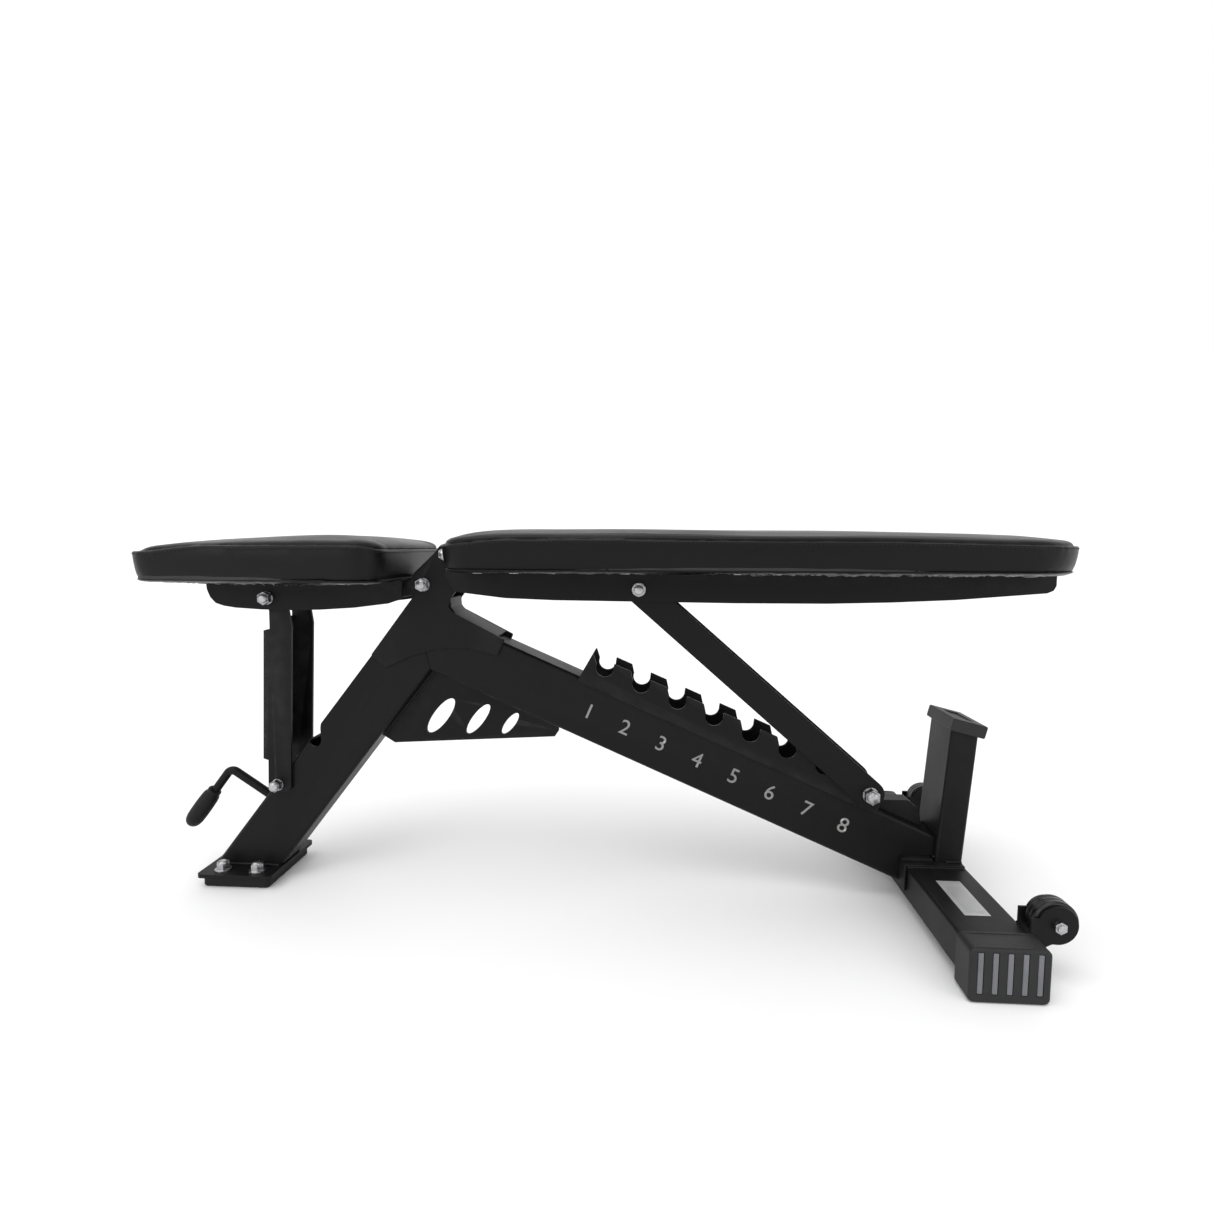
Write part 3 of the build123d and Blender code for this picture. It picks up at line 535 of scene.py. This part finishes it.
class Cushion:
    """Upholstered pad: box, seam height along x, top height along x."""

    def __init__(self, name, node, body, plan, bottom, seam, top, crown):
        self.name = name
        self.node = node
        self.body = body
        self.plan = plan
        self.bottom = bottom
        self.seam = seam
        self.top = top
        self.crown = crown

    def rings(self, inset_extra):
        """(inset, height rule) pairs from under the pad round to the middle of the top."""
        rows = []
        deepest = self.plan[2] - 0.004
        for k in range(12):
            rows.append((deepest * (1 - k / 12) + 0.018 * k / 12, lambda x: self.bottom + 0.0040))
        rows += [
            (0.0140, lambda x: self.bottom + 0.0030),
            (0.0100, lambda x: self.bottom + 0.0004),
            (0.0075, lambda x: self.bottom),
            (0.0052, lambda x: self.bottom + 0.0012),
            (0.0042, lambda x: self.bottom + 0.0040),
        ]
        for k in range(1, 8):
            t = k / 8
            rows.append((
                0.0040 * (1 - t) - 0.0008 * math.sin(math.pi * t),
                lambda x, t=t: self.bottom + 0.005 + (self.seam(x) - self.bottom - 0.005) * t,
            ))
        rows.append((0.0, lambda x: self.seam(x)))
        for inset, part in (
            (0.0022, 0.22), (0.0050, 0.42), (0.0090, 0.60), (0.0140, 0.75), (0.0210, 0.86), (0.0300, 0.93)
        ):
            rows.append((inset, lambda x, p=part: self.seam(x) + (self.top(x) - self.seam(x)) * p))
        for k in range(1, 15):
            inset = 0.030 + (deepest - 0.030) * k / 14
            swell = self.crown * math.sin(math.pi / 2 * k / 14)
            rows.append((
                inset,
                lambda x, s=swell: self.seam(x) + (self.top(x) - self.seam(x)) * 0.93
                + (self.top(x) - self.seam(x)) * 0.07 * min(s / self.crown * 1.6, 1) + s,
            ))
        return [(inset + inset_extra, rule) for inset, rule in rows]

    def base_mesh(self, inset_extra=0.0, drop=0.0):
        bm = bmesh.new()
        rings = []
        for inset, rule in self.rings(inset_extra):
            ring = []
            for x, y in outline(*self.plan_arguments(), inset):
                z = rule(x)
                if z > self.seam(x):
                    z -= drop
                ring.append(bm.verts.new((x, y, z)))
            rings.append(ring)
        for a, b in zip(rings, rings[1:]):
            for i in range(len(a)):
                j = (i + 1) % len(a)
                bm.faces.new((a[i], a[j], b[j], b[i]))
        bm.faces.new(list(reversed(rings[0])))
        bm.faces.new(rings[-1])
        return bm

    def plan_arguments(self):
        return self.plan


def inflate(piece, cushion, cap):
    """Voxel remesh and a short pressure simulation, with the underside held, applied to the mesh."""
    scene = bpy.context.scene
    remesh = piece.modifiers.new("Remesh", "REMESH")
    remesh.mode = "VOXEL"
    remesh.voxel_size = 0.005
    graph = bpy.context.evaluated_depsgraph_get()
    copied = bpy.data.meshes.new_from_object(piece.evaluated_get(graph))
    piece.modifiers.clear()
    piece.data = copied
    start = [v.co.copy() for v in copied.vertices]
    held = piece.vertex_groups.new(name="held")
    for v in copied.vertices:
        grip = 1.0 - smooth_step(v.co.z, cushion.bottom + 0.004, cushion.bottom + 0.014)
        near_seam = math.exp(-((v.co.z - cushion.seam(v.co.x)) / 0.004) ** 2) * 0.35
        held.add([v.index], max(grip, near_seam), "REPLACE")
    cloth = piece.modifiers.new("Cloth", "CLOTH")
    settings = cloth.settings
    settings.quality = 6
    settings.mass = 0.3
    settings.tension_stiffness = 40
    settings.compression_stiffness = 40
    settings.shear_stiffness = 15
    settings.bending_stiffness = 3
    settings.use_pressure = True
    settings.uniform_pressure_force = 4.0
    settings.effector_weights.gravity = 0.0
    settings.vertex_group_mass = "held"
    settings.pin_stiffness = 3.0
    cloth.collision_settings.use_self_collision = False
    cloth.point_cache.frame_start = 1
    cloth.point_cache.frame_end = 20
    for step in range(1, 21):
        scene.frame_set(step)
    graph = bpy.context.evaluated_depsgraph_get()
    moved = piece.evaluated_get(graph).to_mesh()
    settled = []
    for a, v in zip(start, moved.vertices):
        shift = v.co - a
        if shift.length > cap:
            shift *= cap / shift.length
        settled.append(a + shift)
    piece.evaluated_get(graph).to_mesh_clear()
    piece.modifiers.clear()
    piece.vertex_groups.clear()
    for v, co in zip(piece.data.vertices, settled):
        v.co = co
    scene.frame_set(1)


def finish_cushion(piece, cushion):
    """Relaxes the surface, subdivides, sets the pad to its true box and pulls in the seam."""
    bm = bmesh.new()
    bm.from_mesh(piece.data)
    for _ in range(2):
        bmesh.ops.smooth_vert(bm, verts=bm.verts, factor=0.5,
                              use_axis_x=True, use_axis_y=True, use_axis_z=True)
    bm.to_mesh(piece.data)
    bm.free()
    subdivide = piece.modifiers.new("Subdivide", "SUBSURF")
    subdivide.levels = 1
    subdivide.render_levels = 1
    graph = bpy.context.evaluated_depsgraph_get()
    finer = bpy.data.meshes.new_from_object(piece.evaluated_get(graph))
    piece.modifiers.clear()
    piece.data = finer
    xs = [v.co.x for v in finer.vertices]
    ys = [v.co.y for v in finer.vertices]
    zs = [v.co.z for v in finer.vertices]
    front, rear = cushion.plan[0], cushion.plan[1]
    half = max(cushion.plan[2], cushion.plan[3])
    peak = max(cushion.top(front + (rear - front) * k / 20) for k in range(21)) + cushion.crown
    low_corner = (min(xs), min(ys), min(zs))
    spans = (max(xs) - min(xs), max(ys) - min(ys), max(zs) - min(zs))
    for v in finer.vertices:
        v.co.x = front + (v.co.x - low_corner[0]) / spans[0] * (rear - front)
        v.co.y = -half + (v.co.y - low_corner[1]) / spans[1] * 2 * half
        v.co.z = cushion.bottom + (v.co.z - low_corner[2]) / spans[2] * (peak - cushion.bottom)
    bm = bmesh.new()
    bm.from_mesh(finer)
    for v in bm.verts:
        v.co.z -= cushion.seam(v.co.x)
    for k in range(-8, 9):
        bmesh.ops.bisect_plane(bm, geom=bm.verts[:] + bm.edges[:] + bm.faces[:], dist=0.00002,
                               plane_co=(0, 0, 0.0007 * k), plane_no=(0, 0, 1))
    for v in bm.verts:
        v.co.z += cushion.seam(v.co.x)
    bm.normal_update()
    normals = [v.normal.copy() for v in bm.verts]
    for v, n in zip(bm.verts, normals):
        gap = v.co.z - cushion.seam(v.co.x)
        if v.co.z < cushion.bottom + 0.003:
            continue
        spot = Vector((v.co.x, v.co.y, 0))
        pucker = 0.85 + 0.5 * noise.noise(spot * 70)
        groove = 0.0024 * math.exp(-(gap / 0.0012) ** 2) * pucker
        swell = 0.0008 * math.exp(-((abs(gap) - 0.0036) / 0.0022) ** 2)
        lean = 1 - smooth_step(v.co.z, cushion.bottom, cushion.bottom + 0.010)
        v.co -= n * (groove - swell + lean * 0.0005 * (1 + noise.noise(spot * 34)))
        if gap > 0.004:
            v.co.z += noise.noise(Vector((v.co.x * 9, v.co.y * 14, 3.0))) * 0.0007
    bm.to_mesh(finer)
    bm.free()
    for face in finer.polygons:
        face.use_smooth = True
    finer.materials.clear()
    finer.materials.append(VINYL)


def seam_path(cushion, piece, height, proud):
    """Points on the finished pad's side at a height above its seam, one for each 2.5 mm or so."""
    bpy.context.evaluated_depsgraph_get()  # brings the piece up to date for the rays
    points = []
    flat = outline(*cushion.plan_arguments(), -0.012, 20, 200, 60)
    inner = outline(*cushion.plan_arguments(), 0.030, 20, 200, 60)
    for (x, y), (ix, iy) in zip(flat, inner):
        z = cushion.seam(x) + height
        origin = Vector((x, y, z))
        towards = (Vector((ix, iy, z)) - origin).normalized()
        hit, place, normal, _ = piece.ray_cast(origin, towards)
        if hit:
            points.append((place + normal * proud, normal))
    return points


def stitch_row(bm, path, pitch, length, radius):
    """Short thread stitches laid along a path."""
    travelled = 0.0
    previous = None
    run = []
    for place, normal in path + path[:1]:
        if previous is not None:
            travelled += (place - previous).length
        previous = place
        phase = travelled % pitch
        if phase < length:
            lift = radius * 0.9 * math.sin(math.pi * phase / length)
            run.append(place + normal * (lift - radius * 0.5))
        else:
            if len(run) >= 2:
                sweep(bm, run, [radius] * len(run), 6)
            run = []


def build_cushion(cushion, cap):
    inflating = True
    bm = cushion.base_mesh(0.002 if inflating else 0.0, 0.002 if inflating else 0.0)
    mesh = bpy.data.meshes.new(cushion.name)
    bm.to_mesh(mesh)
    bm.free()
    piece = bpy.data.objects.new(cushion.name, mesh)
    bpy.context.scene.collection.objects.link(piece)
    if inflating:
        inflate(piece, cushion, cap)
    finish_cushion(piece, cushion)
    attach(piece, cushion.body)
    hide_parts(cushion.node)
    bm = bmesh.new()
    stitch_row(bm, resample(seam_path(cushion, piece, -0.0042, 0.0), 0.0008), 0.0048, 0.0036, 0.00038)
    add_piece(cushion.name + "_stitching", bm, cushion.body, THREAD)
    return piece


def resample(path, spacing):
    """The same path with points a fixed distance apart."""
    closed = path + path[:1]
    out = []
    carry = 0.0
    for (a, na), (b, nb) in zip(closed, closed[1:]):
        length = (b - a).length
        if length < 1e-7:
            continue
        at = spacing - carry
        while at <= length:
            t = at / length
            out.append((a.lerp(b, t), na.lerp(nb, t).normalized()))
            at += spacing
        carry = (carry + length) % spacing
    return out


def wrap_skirt(name, cushion, board_node, reach, hang, loosest, seed):
    """Vinyl turned under the board and gathered there: the folds hang deepest round x = loosest."""
    board_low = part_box(board_node)[0][2]
    plan = cushion.plan
    profile = [
        (0.0030, 0.0014), (0.0042, 0.0004), (0.0058, -0.0004), (0.0080, -0.0009), (0.0110, -0.0012),
        (0.0145, -0.0013), (0.0185, -0.0014), (0.0225, -0.0014), (0.0265, -0.0014), (0.0305, -0.0013),
        (reach, -0.0010), (reach + 0.0030, -0.0001),
    ]
    bm = bmesh.new()
    rings = []
    for inset, rise in profile:
        ring = []
        fixed_edge = smooth_step(inset, reach - 0.004, reach + 0.003)
        depth = smooth_step(inset, 0.003, 0.016) * (1 - 0.75 * fixed_edge)
        for x, y in outline(*plan, inset, 24, 260, 90):
            slack = 0.18 + 0.82 * math.exp(-((x - loosest[0]) / loosest[1]) ** 2)
            across = noise.noise(Vector((x * 62, y * 62, seed)))
            fold = (1 - min(abs(across) * 2.6, 1)) ** 2
            along = 0.5 + 0.5 * noise.noise(Vector((x * 17, y * 90, seed + 9)))
            fine = noise.noise(Vector((x * 190, y * 190, seed + 4)))
            sag = slack * depth * (hang * fold * along + 0.0002 * fine) + 0.0003 * depth * fold
            ring.append(bm.verts.new((x, y, board_low + rise - sag)))
        rings.append(ring)
    for a, b in zip(rings, rings[1:]):
        for i in range(len(a)):
            j = (i + 1) % len(a)
            bm.faces.new((a[i], b[i], b[j], a[j]))
    bmesh.ops.recalc_face_normals(bm, faces=bm.faces)
    piece = add_piece(name, bm, cushion.body, WRAP_VINYL)
    thicken = piece.modifiers.new("Thickness", "SOLIDIFY")
    thicken.thickness = 0.0009
    thicken.offset = 0.0
    bm = bmesh.new()
    walk = outline(*plan, reach - 0.007, 5, 14, 6)
    for i, (x, y) in enumerate(walk):
        ahead = walk[(i + 1) % len(walk)]
        along = Vector((ahead[0] - x, ahead[1] - y, 0))
        if along.length < 0.012 or abs(y) < 0.046:
            continue
        along.normalize()
        wobble = 0.25 * noise.noise(Vector((x * 60, y * 60, seed)))
        along = Matrix.Rotation(wobble, 3, "Z") @ along
        a = Vector((x, y, board_low - 0.0030)) - along * 0.0055
        b = Vector((x, y, board_low - 0.0030)) + along * 0.0055
        up = Vector((0, 0, 0.0032))
        sweep(bm, [a + up, a + along * 0.0006, b - along * 0.0006, b + up], [0.0005] * 4, 6, 0.7)
    add_piece(name + "_staples", bm, cushion.body, ZINC)


def seat_seam(x):
    front_rise = smooth_step(x, -0.510, -0.420)
    rear_fall = smooth_step(x, -0.250, -0.215)
    return 0.4262 + 0.0070 * front_rise - 0.0050 * rear_fall


def seat_top(x):
    front_rise = smooth_step(x, -0.540, -0.460)
    middle_rise = smooth_step(x, -0.480, -0.300)
    return 0.4298 + 0.0076 * front_rise + 0.0052 * middle_rise - 0.0012 * smooth_step(x, -0.250, -0.215)


def back_seam(x):
    front_rise = smooth_step(x, -0.150, -0.075)
    middle_fall = smooth_step(x, 0.0, 0.25)
    rear_fall = smooth_step(x, 0.30, 0.52)
    return 0.4350 + 0.0055 * front_rise - 0.0018 * middle_fall - 0.0038 * rear_fall


def back_top(x):
    front_rise = smooth_step(x, -0.190, -0.100)
    rear_fall = smooth_step(x, 0.250, 0.520)
    return 0.4425 + 0.0080 * front_rise - 0.0016 * smooth_step(x, 0.0, 0.25) - 0.0042 * rear_fall


seat_cushion = Cushion(
    "seat_cushion", "seat_pad", "seat",
    (-0.528, -0.221, 0.112, 0.128, 0.035, 0.030), 0.3902, seat_seam, seat_top, 0.0022)
back_cushion = Cushion(
    "back_cushion", "back_pad", "back",
    (-0.156, 0.5432, 0.128, 0.128, 0.035, 0.075), 0.4038, back_seam, back_top, 0.0022)
build_cushion(seat_cushion, 0.0025)
build_cushion(back_cushion, 0.0025)
wrap_skirt("seat_cover_wrap", seat_cushion, "seat_board", 0.034, 0.0062, (-0.350, 0.085), 3.0)
wrap_skirt("back_cover_wrap", back_cushion, "back_board", 0.034, 0.0046, (0.330, 0.290), 11.0)

# ------------------------------------------------------------------ weld beads
leg_rear = on_line(LEG_POINT, LEG_ANGLE, 0, -0.035)
leg_front = on_line(LEG_POINT, LEG_ANGLE, 0, 0.035)
beam_low = on_line(BEAM_POINT, BEAM_ANGLE, 0, -0.035)
beam_top = on_line(BEAM_POINT, BEAM_ANGLE, 0, 0.035)
mitre_inner = crossing(leg_rear, LEG_ANGLE, beam_low, BEAM_ANGLE)
mitre_outer = crossing(leg_front, LEG_ANGLE, beam_top, BEAM_ANGLE)
mitre_run = (mitre_outer[0] - mitre_inner[0], mitre_outer[1] - mitre_inner[1])
hub_low_edge = [
    (-0.2690, 0.2968), (-0.2518, 0.2810), (-0.2204, 0.2955), (-0.1930, 0.3040),
    (-0.1740, 0.3063), (-0.1489, 0.3070), (-0.1107, 0.2981), (-0.1025, 0.3179),
]
gusset_start = crossing(leg_rear, LEG_ANGLE, (0, 0.187), 0)
gusset_end = crossing(beam_low, BEAM_ANGLE, (-0.0378, 0), 90)
bm = bmesh.new()
for side in (-1, 1):
    y = side * (TUBE_HALF + 0.0010)
    bead(bm, [(x, y, z) for x, z in hub_low_edge], 0.0018)
    mitre = [
        (mitre_inner[0] + mitre_run[0] * t, side * (TUBE_HALF + 0.0001), mitre_inner[1] + mitre_run[1] * t)
        for t in (0.02, 0.30)
    ]
    bead(bm, mitre, 0.0012)
    for start in (-0.268, -0.160, -0.055, 0.050):
        a = on_line(BEAM_POINT, BEAM_ANGLE, start, 0.0292)
        b = on_line(BEAM_POINT, BEAM_ANGLE, start + 0.030, 0.0292)
        bead(bm, [(a[0], y, a[1]), (b[0], y, b[1])], 0.0017)
    g = side * 0.0026
    bead(bm, [(gusset_start[0], g, gusset_start[1]), (mitre_inner[0] + 0.0006, g, mitre_inner[1] - 0.0010),
              (gusset_end[0], g, gusset_end[1])], 0.0019)
add_piece("hub_weld_beads", bm, "frame", WELD_PAINT)

bm = bmesh.new()
low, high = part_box("rear_post")
for side in (-1, 1):
    bead(bm, [(low[0] + 0.012, side * 0.0336, 0.0550), (0.4530, side * 0.0336, 0.0550)], 0.0018)
    bead(bm, [(0.386, side * 0.0436, 0.0512), (0.451, side * 0.0436, 0.0512)], 0.0015)
    bead(bm, [(0.3836, side * 0.0434, 0.026), (0.3836, side * 0.0434, 0.0505)], 0.0015)
    for y in (0.1566, 0.1604, 0.1806, 0.1844):
        bead(bm, [(0.4564, side * y, 0.032), (0.4564, side * y, 0.0500)], 0.0012)
    bead(bm, [(-0.480, side * 0.0253, 0.0187), (-0.4005, side * 0.0253, 0.0187)], 0.0020)
bead(bm, [(0.4216, -0.030, 0.0588), (0.4216, 0.030, 0.0588)], 0.0018)
add_piece("base_weld_beads", bm, "frame", WELD_PAINT)


# ------------------------------------------------------------------ hardware details
def lock_collar(bm, centre, face_y, side, bore, flats):
    """Crimped collar of a lock nut, on a nut's outer face."""
    axis = Vector((0, side, 0))
    origin = Vector((centre[0], face_y, centre[1]))
    r = flats * 0.42
    lathe(bm, origin, axis, [
        (-0.0004, r * 1.02), (0.0006, r), (0.0014, r * 0.94), (0.0021, r * 0.84),
        (0.0024, bore * 1.20), (0.0020, bore * 1.06), (-0.0004, bore * 1.03),
    ])


def stud_thread(bm, centre, start_y, side, radius, length):
    """Helical thread on the end of a stud."""
    pitch = 0.0011
    side_axis, up = frame_at(Vector((0, side, 0)))
    points = []
    turns = length / pitch
    steps = int(turns * 28)
    for i in range(steps + 1):
        a = 2 * math.pi * turns * i / steps
        spot = Vector((centre[0], start_y + side * length * i / steps, centre[1]))
        points.append(spot + (side_axis * math.cos(a) + up * math.sin(a)) * radius)
    sweep(bm, points, [0.00038] * len(points), 6)
    lathe(bm, Vector((centre[0], start_y + side * (length - 0.0002), centre[1])), Vector((0, side, 0)), [
        (0.0, radius * 1.00), (0.0005, radius * 0.97), (0.0009, radius * 0.86), (0.0010, 0.0),
    ])


def head_recess(bm, centre, face_y, side, flats):
    """Raised washer ring and shallow dish on a bolt head."""
    r = flats * 0.44
    lathe(bm, Vector((centre[0], face_y, centre[1])), Vector((0, side, 0)), [
        (-0.0003, r), (0.0003, r * 0.985), (0.0005, r * 0.93),
        (0.0004, r * 0.80), (0.0001, r * 0.72), (0.0001, 0.0),
    ])


for name, body, centre, clamp, radius, flats in (
    ("back_pivot_bolt", "frame", BACK_PIVOT, 0.029, 0.005, 0.014),
    ("seat_pivot_bolt", "frame", SEAT_PIVOT, 0.029, 0.005, 0.014),
    ("support_pivot_bolt", "seat", SUPPORT_PIVOT, 0.041, 0.005, 0.014),
    ("strut_pivot_bolt", "back", STRUT_PIVOT, 0.041, 0.005, 0.014),
    ("support_pin_bolt", "seat_support", SUPPORT_PIN, 0.0297, 0.005, 0.013),
    ("roller_bolt", "strut", ROLLER_AXIS, 0.035, 0.006, 0.016),
):
    height = radius * 1.6
    bm = bmesh.new()
    lock_collar(bm, centre, -(clamp + 0.002 + height), -1, radius, flats)
    stud_thread(bm, centre, -(clamp + 0.002 + height), -1, radius, 0.0030)
    head_recess(bm, centre, clamp + 0.002 + height * 0.8, 1, flats)
    add_piece(name + "_detail", bm, body, ZINC)

bm = bmesh.new()
for x in (-0.465, -0.420):
    for y in (-0.042, 0.042):
        lathe(bm, Vector((x, y, 0.028)), Vector((0, 0, 1)), [
            (-0.0004, 0.0063), (0.0006, 0.0062), (0.0012, 0.0059),
            (0.0015, 0.0055), (0.0013, 0.0052), (-0.0004, 0.0051),
        ])
        lathe(bm, Vector((x, y, 0.0294)), Vector((0, 0, 1)), [
            (0.0, 0.0050), (0.0006, 0.0048), (0.0009, 0.0042), (0.0010, 0.0)])
add_piece("foot_nut_collars", bm, "frame", ZINC)

# ------------------------------------------------------------------ handle grip
grip_top = Vector((-0.4983, 0, 0.1079))
grip_end = Vector((-0.5360, 0, 0.0583))
axis = (grip_end - grip_top).normalized()
length = (grip_end - grip_top).length
profile = [
    (0.0, 0.0056), (0.0002, 0.0078), (0.0014, 0.0086),
    (0.0034, 0.0086), (0.0046, 0.0080), (0.0058, 0.0082),
]
profile += [(0.0075, 0.0095), (0.0100, 0.0104)]
body_end = length - 0.0120
ribs = 17
for i in range(ribs):
    t = 0.0115 + (body_end - 0.0115) * i / ribs
    step = (body_end - 0.0115) / ribs
    bulge = 0.0104 + 0.0006 * math.sin(math.pi * i / ribs)
    profile += [(t, bulge), (t + step * 0.30, bulge + 0.00032), (t + step * 0.62, bulge + 0.00032),
                (t + step * 0.84, bulge)]
for i in range(9):
    a = math.pi / 2 * i / 8
    profile.append((body_end + 0.0118 * math.sin(a), 0.0104 * math.cos(a) if i < 8 else 0.0))
bm = bmesh.new()
lathe(bm, grip_top, axis, profile, 56)
grip = add_piece("handle_grip_sleeve", bm, "seat_support", GRIP)
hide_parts("handle_grip")

# ------------------------------------------------------------------ stabilizer end caps
for side, name in ((-1, "left"), (1, "right")):
    outer = side * 0.220
    bm = bmesh.new()
    for i in range(5):
        x = 0.3932 + 0.0138 * i
        low_y, high_y = sorted((outer - side * 0.0022, outer + side * 0.0003))
        rounded_bar(bm, (x - 0.0025, low_y, 0.0095), (x + 0.0025, high_y, 0.0500), 0.0008)
    # The strips' lighter grey is painted sheen.
    add_piece("cap_strips_" + name, bm, "frame", CAP_GLOSS_AND_PAINTED_SHEEN)
    bm = bmesh.new()
    for i in range(2):
        y = outer - side * (0.0285 - 0.0255 * i)
        path = [(0.389, y, 0.0540), (0.400, y, 0.0541), (0.442, y, 0.0541), (0.453, y, 0.0540)]
        sweep(bm, path, [0.0003, 0.0006, 0.0006, 0.0003], 8)
    add_piece("cap_ridges_" + name, bm, "frame", CAP)

# ------------------------------------------------------------------ wheels
for side, name in ((-1, "wheel_left"), (1, "wheel_right")):
    bm = bmesh.new()
    middle = side * 0.1705
    for groove in (-0.0062, 0.0, 0.0062):
        lathe(bm, Vector((WHEEL_AXIS[0], middle + groove, WHEEL_AXIS[1])), Vector((0, 1, 0)), [
            (-0.0020, 0.0217), (-0.0016, 0.02225), (-0.0008, 0.0224),
            (0.0008, 0.0224), (0.0016, 0.02225), (0.0020, 0.0217),
        ], 96)
    add_piece(name + "_tread", bm, name, WHEEL)
    bm = bmesh.new()
    for i in range(6):
        a = math.pi / 3 * i
        for face in (-1, 1):
            hub_centre = Vector((WHEEL_AXIS[0], middle + face * 0.0076, WHEEL_AXIS[1]))
            spoke = Vector((math.cos(a), 0, math.sin(a)))
            inner_end = hub_centre + spoke * 0.0075
            outer_end = hub_centre + spoke * 0.0155
            sweep(bm, [inner_end, inner_end.lerp(outer_end, 0.5), outer_end], [0.0017, 0.0015, 0.0017], 10)
    add_piece(name + "_spokes", bm, name, WHEEL)

# ------------------------------------------------------------------ position numbers on the beam
for i in range(NOTCH_COUNT + 1):
    u = FIRST_NOTCH_U + NOTCH_PITCH * i
    spot = on_line(BEAM_POINT, BEAM_ANGLE, u + 0.004, -0.0085)
    letters = bpy.data.curves.new("position_number_%d" % (i + 1), "FONT")
    letters.body = str(i + 1)
    letters.size = 0.0265
    letters.align_x = "CENTER"
    letters.extrude = 0.00012
    letters.bevel_depth = 0.00005
    letters.resolution_u = 6
    text = bpy.data.objects.new(letters.name + "_curve", letters)
    bpy.context.scene.collection.objects.link(text)
    c, s = direction(BEAM_ANGLE)
    text.matrix_world = Matrix((
        (c, -s, 0, spot[0]),
        (0, 0, -1, -(TUBE_HALF + 0.0001)),
        (s, c, 0, spot[1]),
        (0, 0, 0, 1),
    ))
    graph = bpy.context.evaluated_depsgraph_get()
    mesh = bpy.data.meshes.new_from_object(text.evaluated_get(graph))
    mesh.transform(text.matrix_world)
    bpy.data.objects.remove(text)
    mesh.materials.clear()
    mesh.materials.append(MARK_PAINT)
    number = bpy.data.objects.new(letters.name, mesh)
    bpy.context.scene.collection.objects.link(number)
    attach(number, "frame")

# ------------------------------------------------------------------ floor, light, camera
bm = bmesh.new()
bmesh.ops.create_grid(bm, x_segments=40, y_segments=40, size=6.0)
for v in bm.verts:
    distance = v.co.y - 3.0
    if distance > 0:
        v.co.z = 1.6 * (math.sqrt(1 + (distance / 1.6) ** 2) - 1)
mesh = bpy.data.meshes.new("floor")
bm.to_mesh(mesh)
bm.free()
for face in mesh.polygons:
    face.use_smooth = True
floor_shader = Shader("floor_pale", (0.86, 0.86, 0.86), 0.0, 0.7)
floor_tone = floor_shader.shades(floor_shader.noise(2.0), 0.01)
floor_shader.link(floor_tone, floor_shader.bsdf.inputs["Base Color"])
mesh.materials.append(floor_shader.material)
floor = bpy.data.objects.new("floor", mesh)
bpy.context.scene.collection.objects.link(floor)
floor.location.z = -0.0002
floor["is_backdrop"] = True

world = bpy.data.worlds.new("studio")
world.use_nodes = True
world.node_tree.nodes["Background"].inputs["Color"].default_value = (1.0, 1.0, 1.0, 1)
world.node_tree.nodes["Background"].inputs["Strength"].default_value = 1.0
bpy.context.scene.world = world
bpy.context.scene.view_settings.view_transform = "Standard"


def area_light(name, place, target, size, power):
    light = bpy.data.lights.new(name, "AREA")
    light.shape = "RECTANGLE"
    light.size, light.size_y = size
    light.energy = power
    made = bpy.data.objects.new(name, light)
    bpy.context.scene.collection.objects.link(made)
    made.location = place
    made.rotation_mode = "QUATERNION"
    made.rotation_quaternion = (Vector(target) - Vector(place)).to_track_quat("-Z", "Y")


sun = bpy.data.lights.new("overhead", "SUN")
sun.energy = 1.1
sun.angle = math.radians(50)
overhead = bpy.data.objects.new("overhead", sun)
bpy.context.scene.collection.objects.link(overhead)
overhead.rotation_euler = (math.radians(14), math.radians(-10), 0)
area_light("front_left", (-1.9, -2.4, 1.5), (0, 0, 0.3), (1.6, 1.4), 16)
area_light("front_right", (2.2, -2.0, 1.1), (0.2, 0, 0.3), (1.2, 1.2), 8)

yaw, pitch, roll = 0.067, 0.086, 0.003
right = Vector((math.cos(yaw), math.sin(yaw), 0))
ahead = Vector((-math.sin(yaw), math.cos(yaw), 0))
up = Vector((0, 0, 1))
look = ahead * math.cos(pitch) - up * math.sin(pitch)
lift = up * math.cos(pitch) + ahead * math.sin(pitch)
side = right * math.cos(roll) + lift * math.sin(roll)
top = lift * math.cos(roll) - right * math.sin(roll)
camera = bpy.data.objects.new("camera", bpy.data.cameras.new("camera"))
bpy.context.scene.collection.objects.link(camera)
camera.data.sensor_width = 36.0
camera.data.lens = 20.956
camera.data.clip_start = 0.02
camera.matrix_world = Matrix((
    (side.x, top.x, -look.x, 0.0820),
    (side.y, top.y, -look.y, -0.8791),
    (side.z, top.z, -look.z, 0.4320),
    (0, 0, 0, 1),
))
bpy.context.scene.camera = camera

low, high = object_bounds()
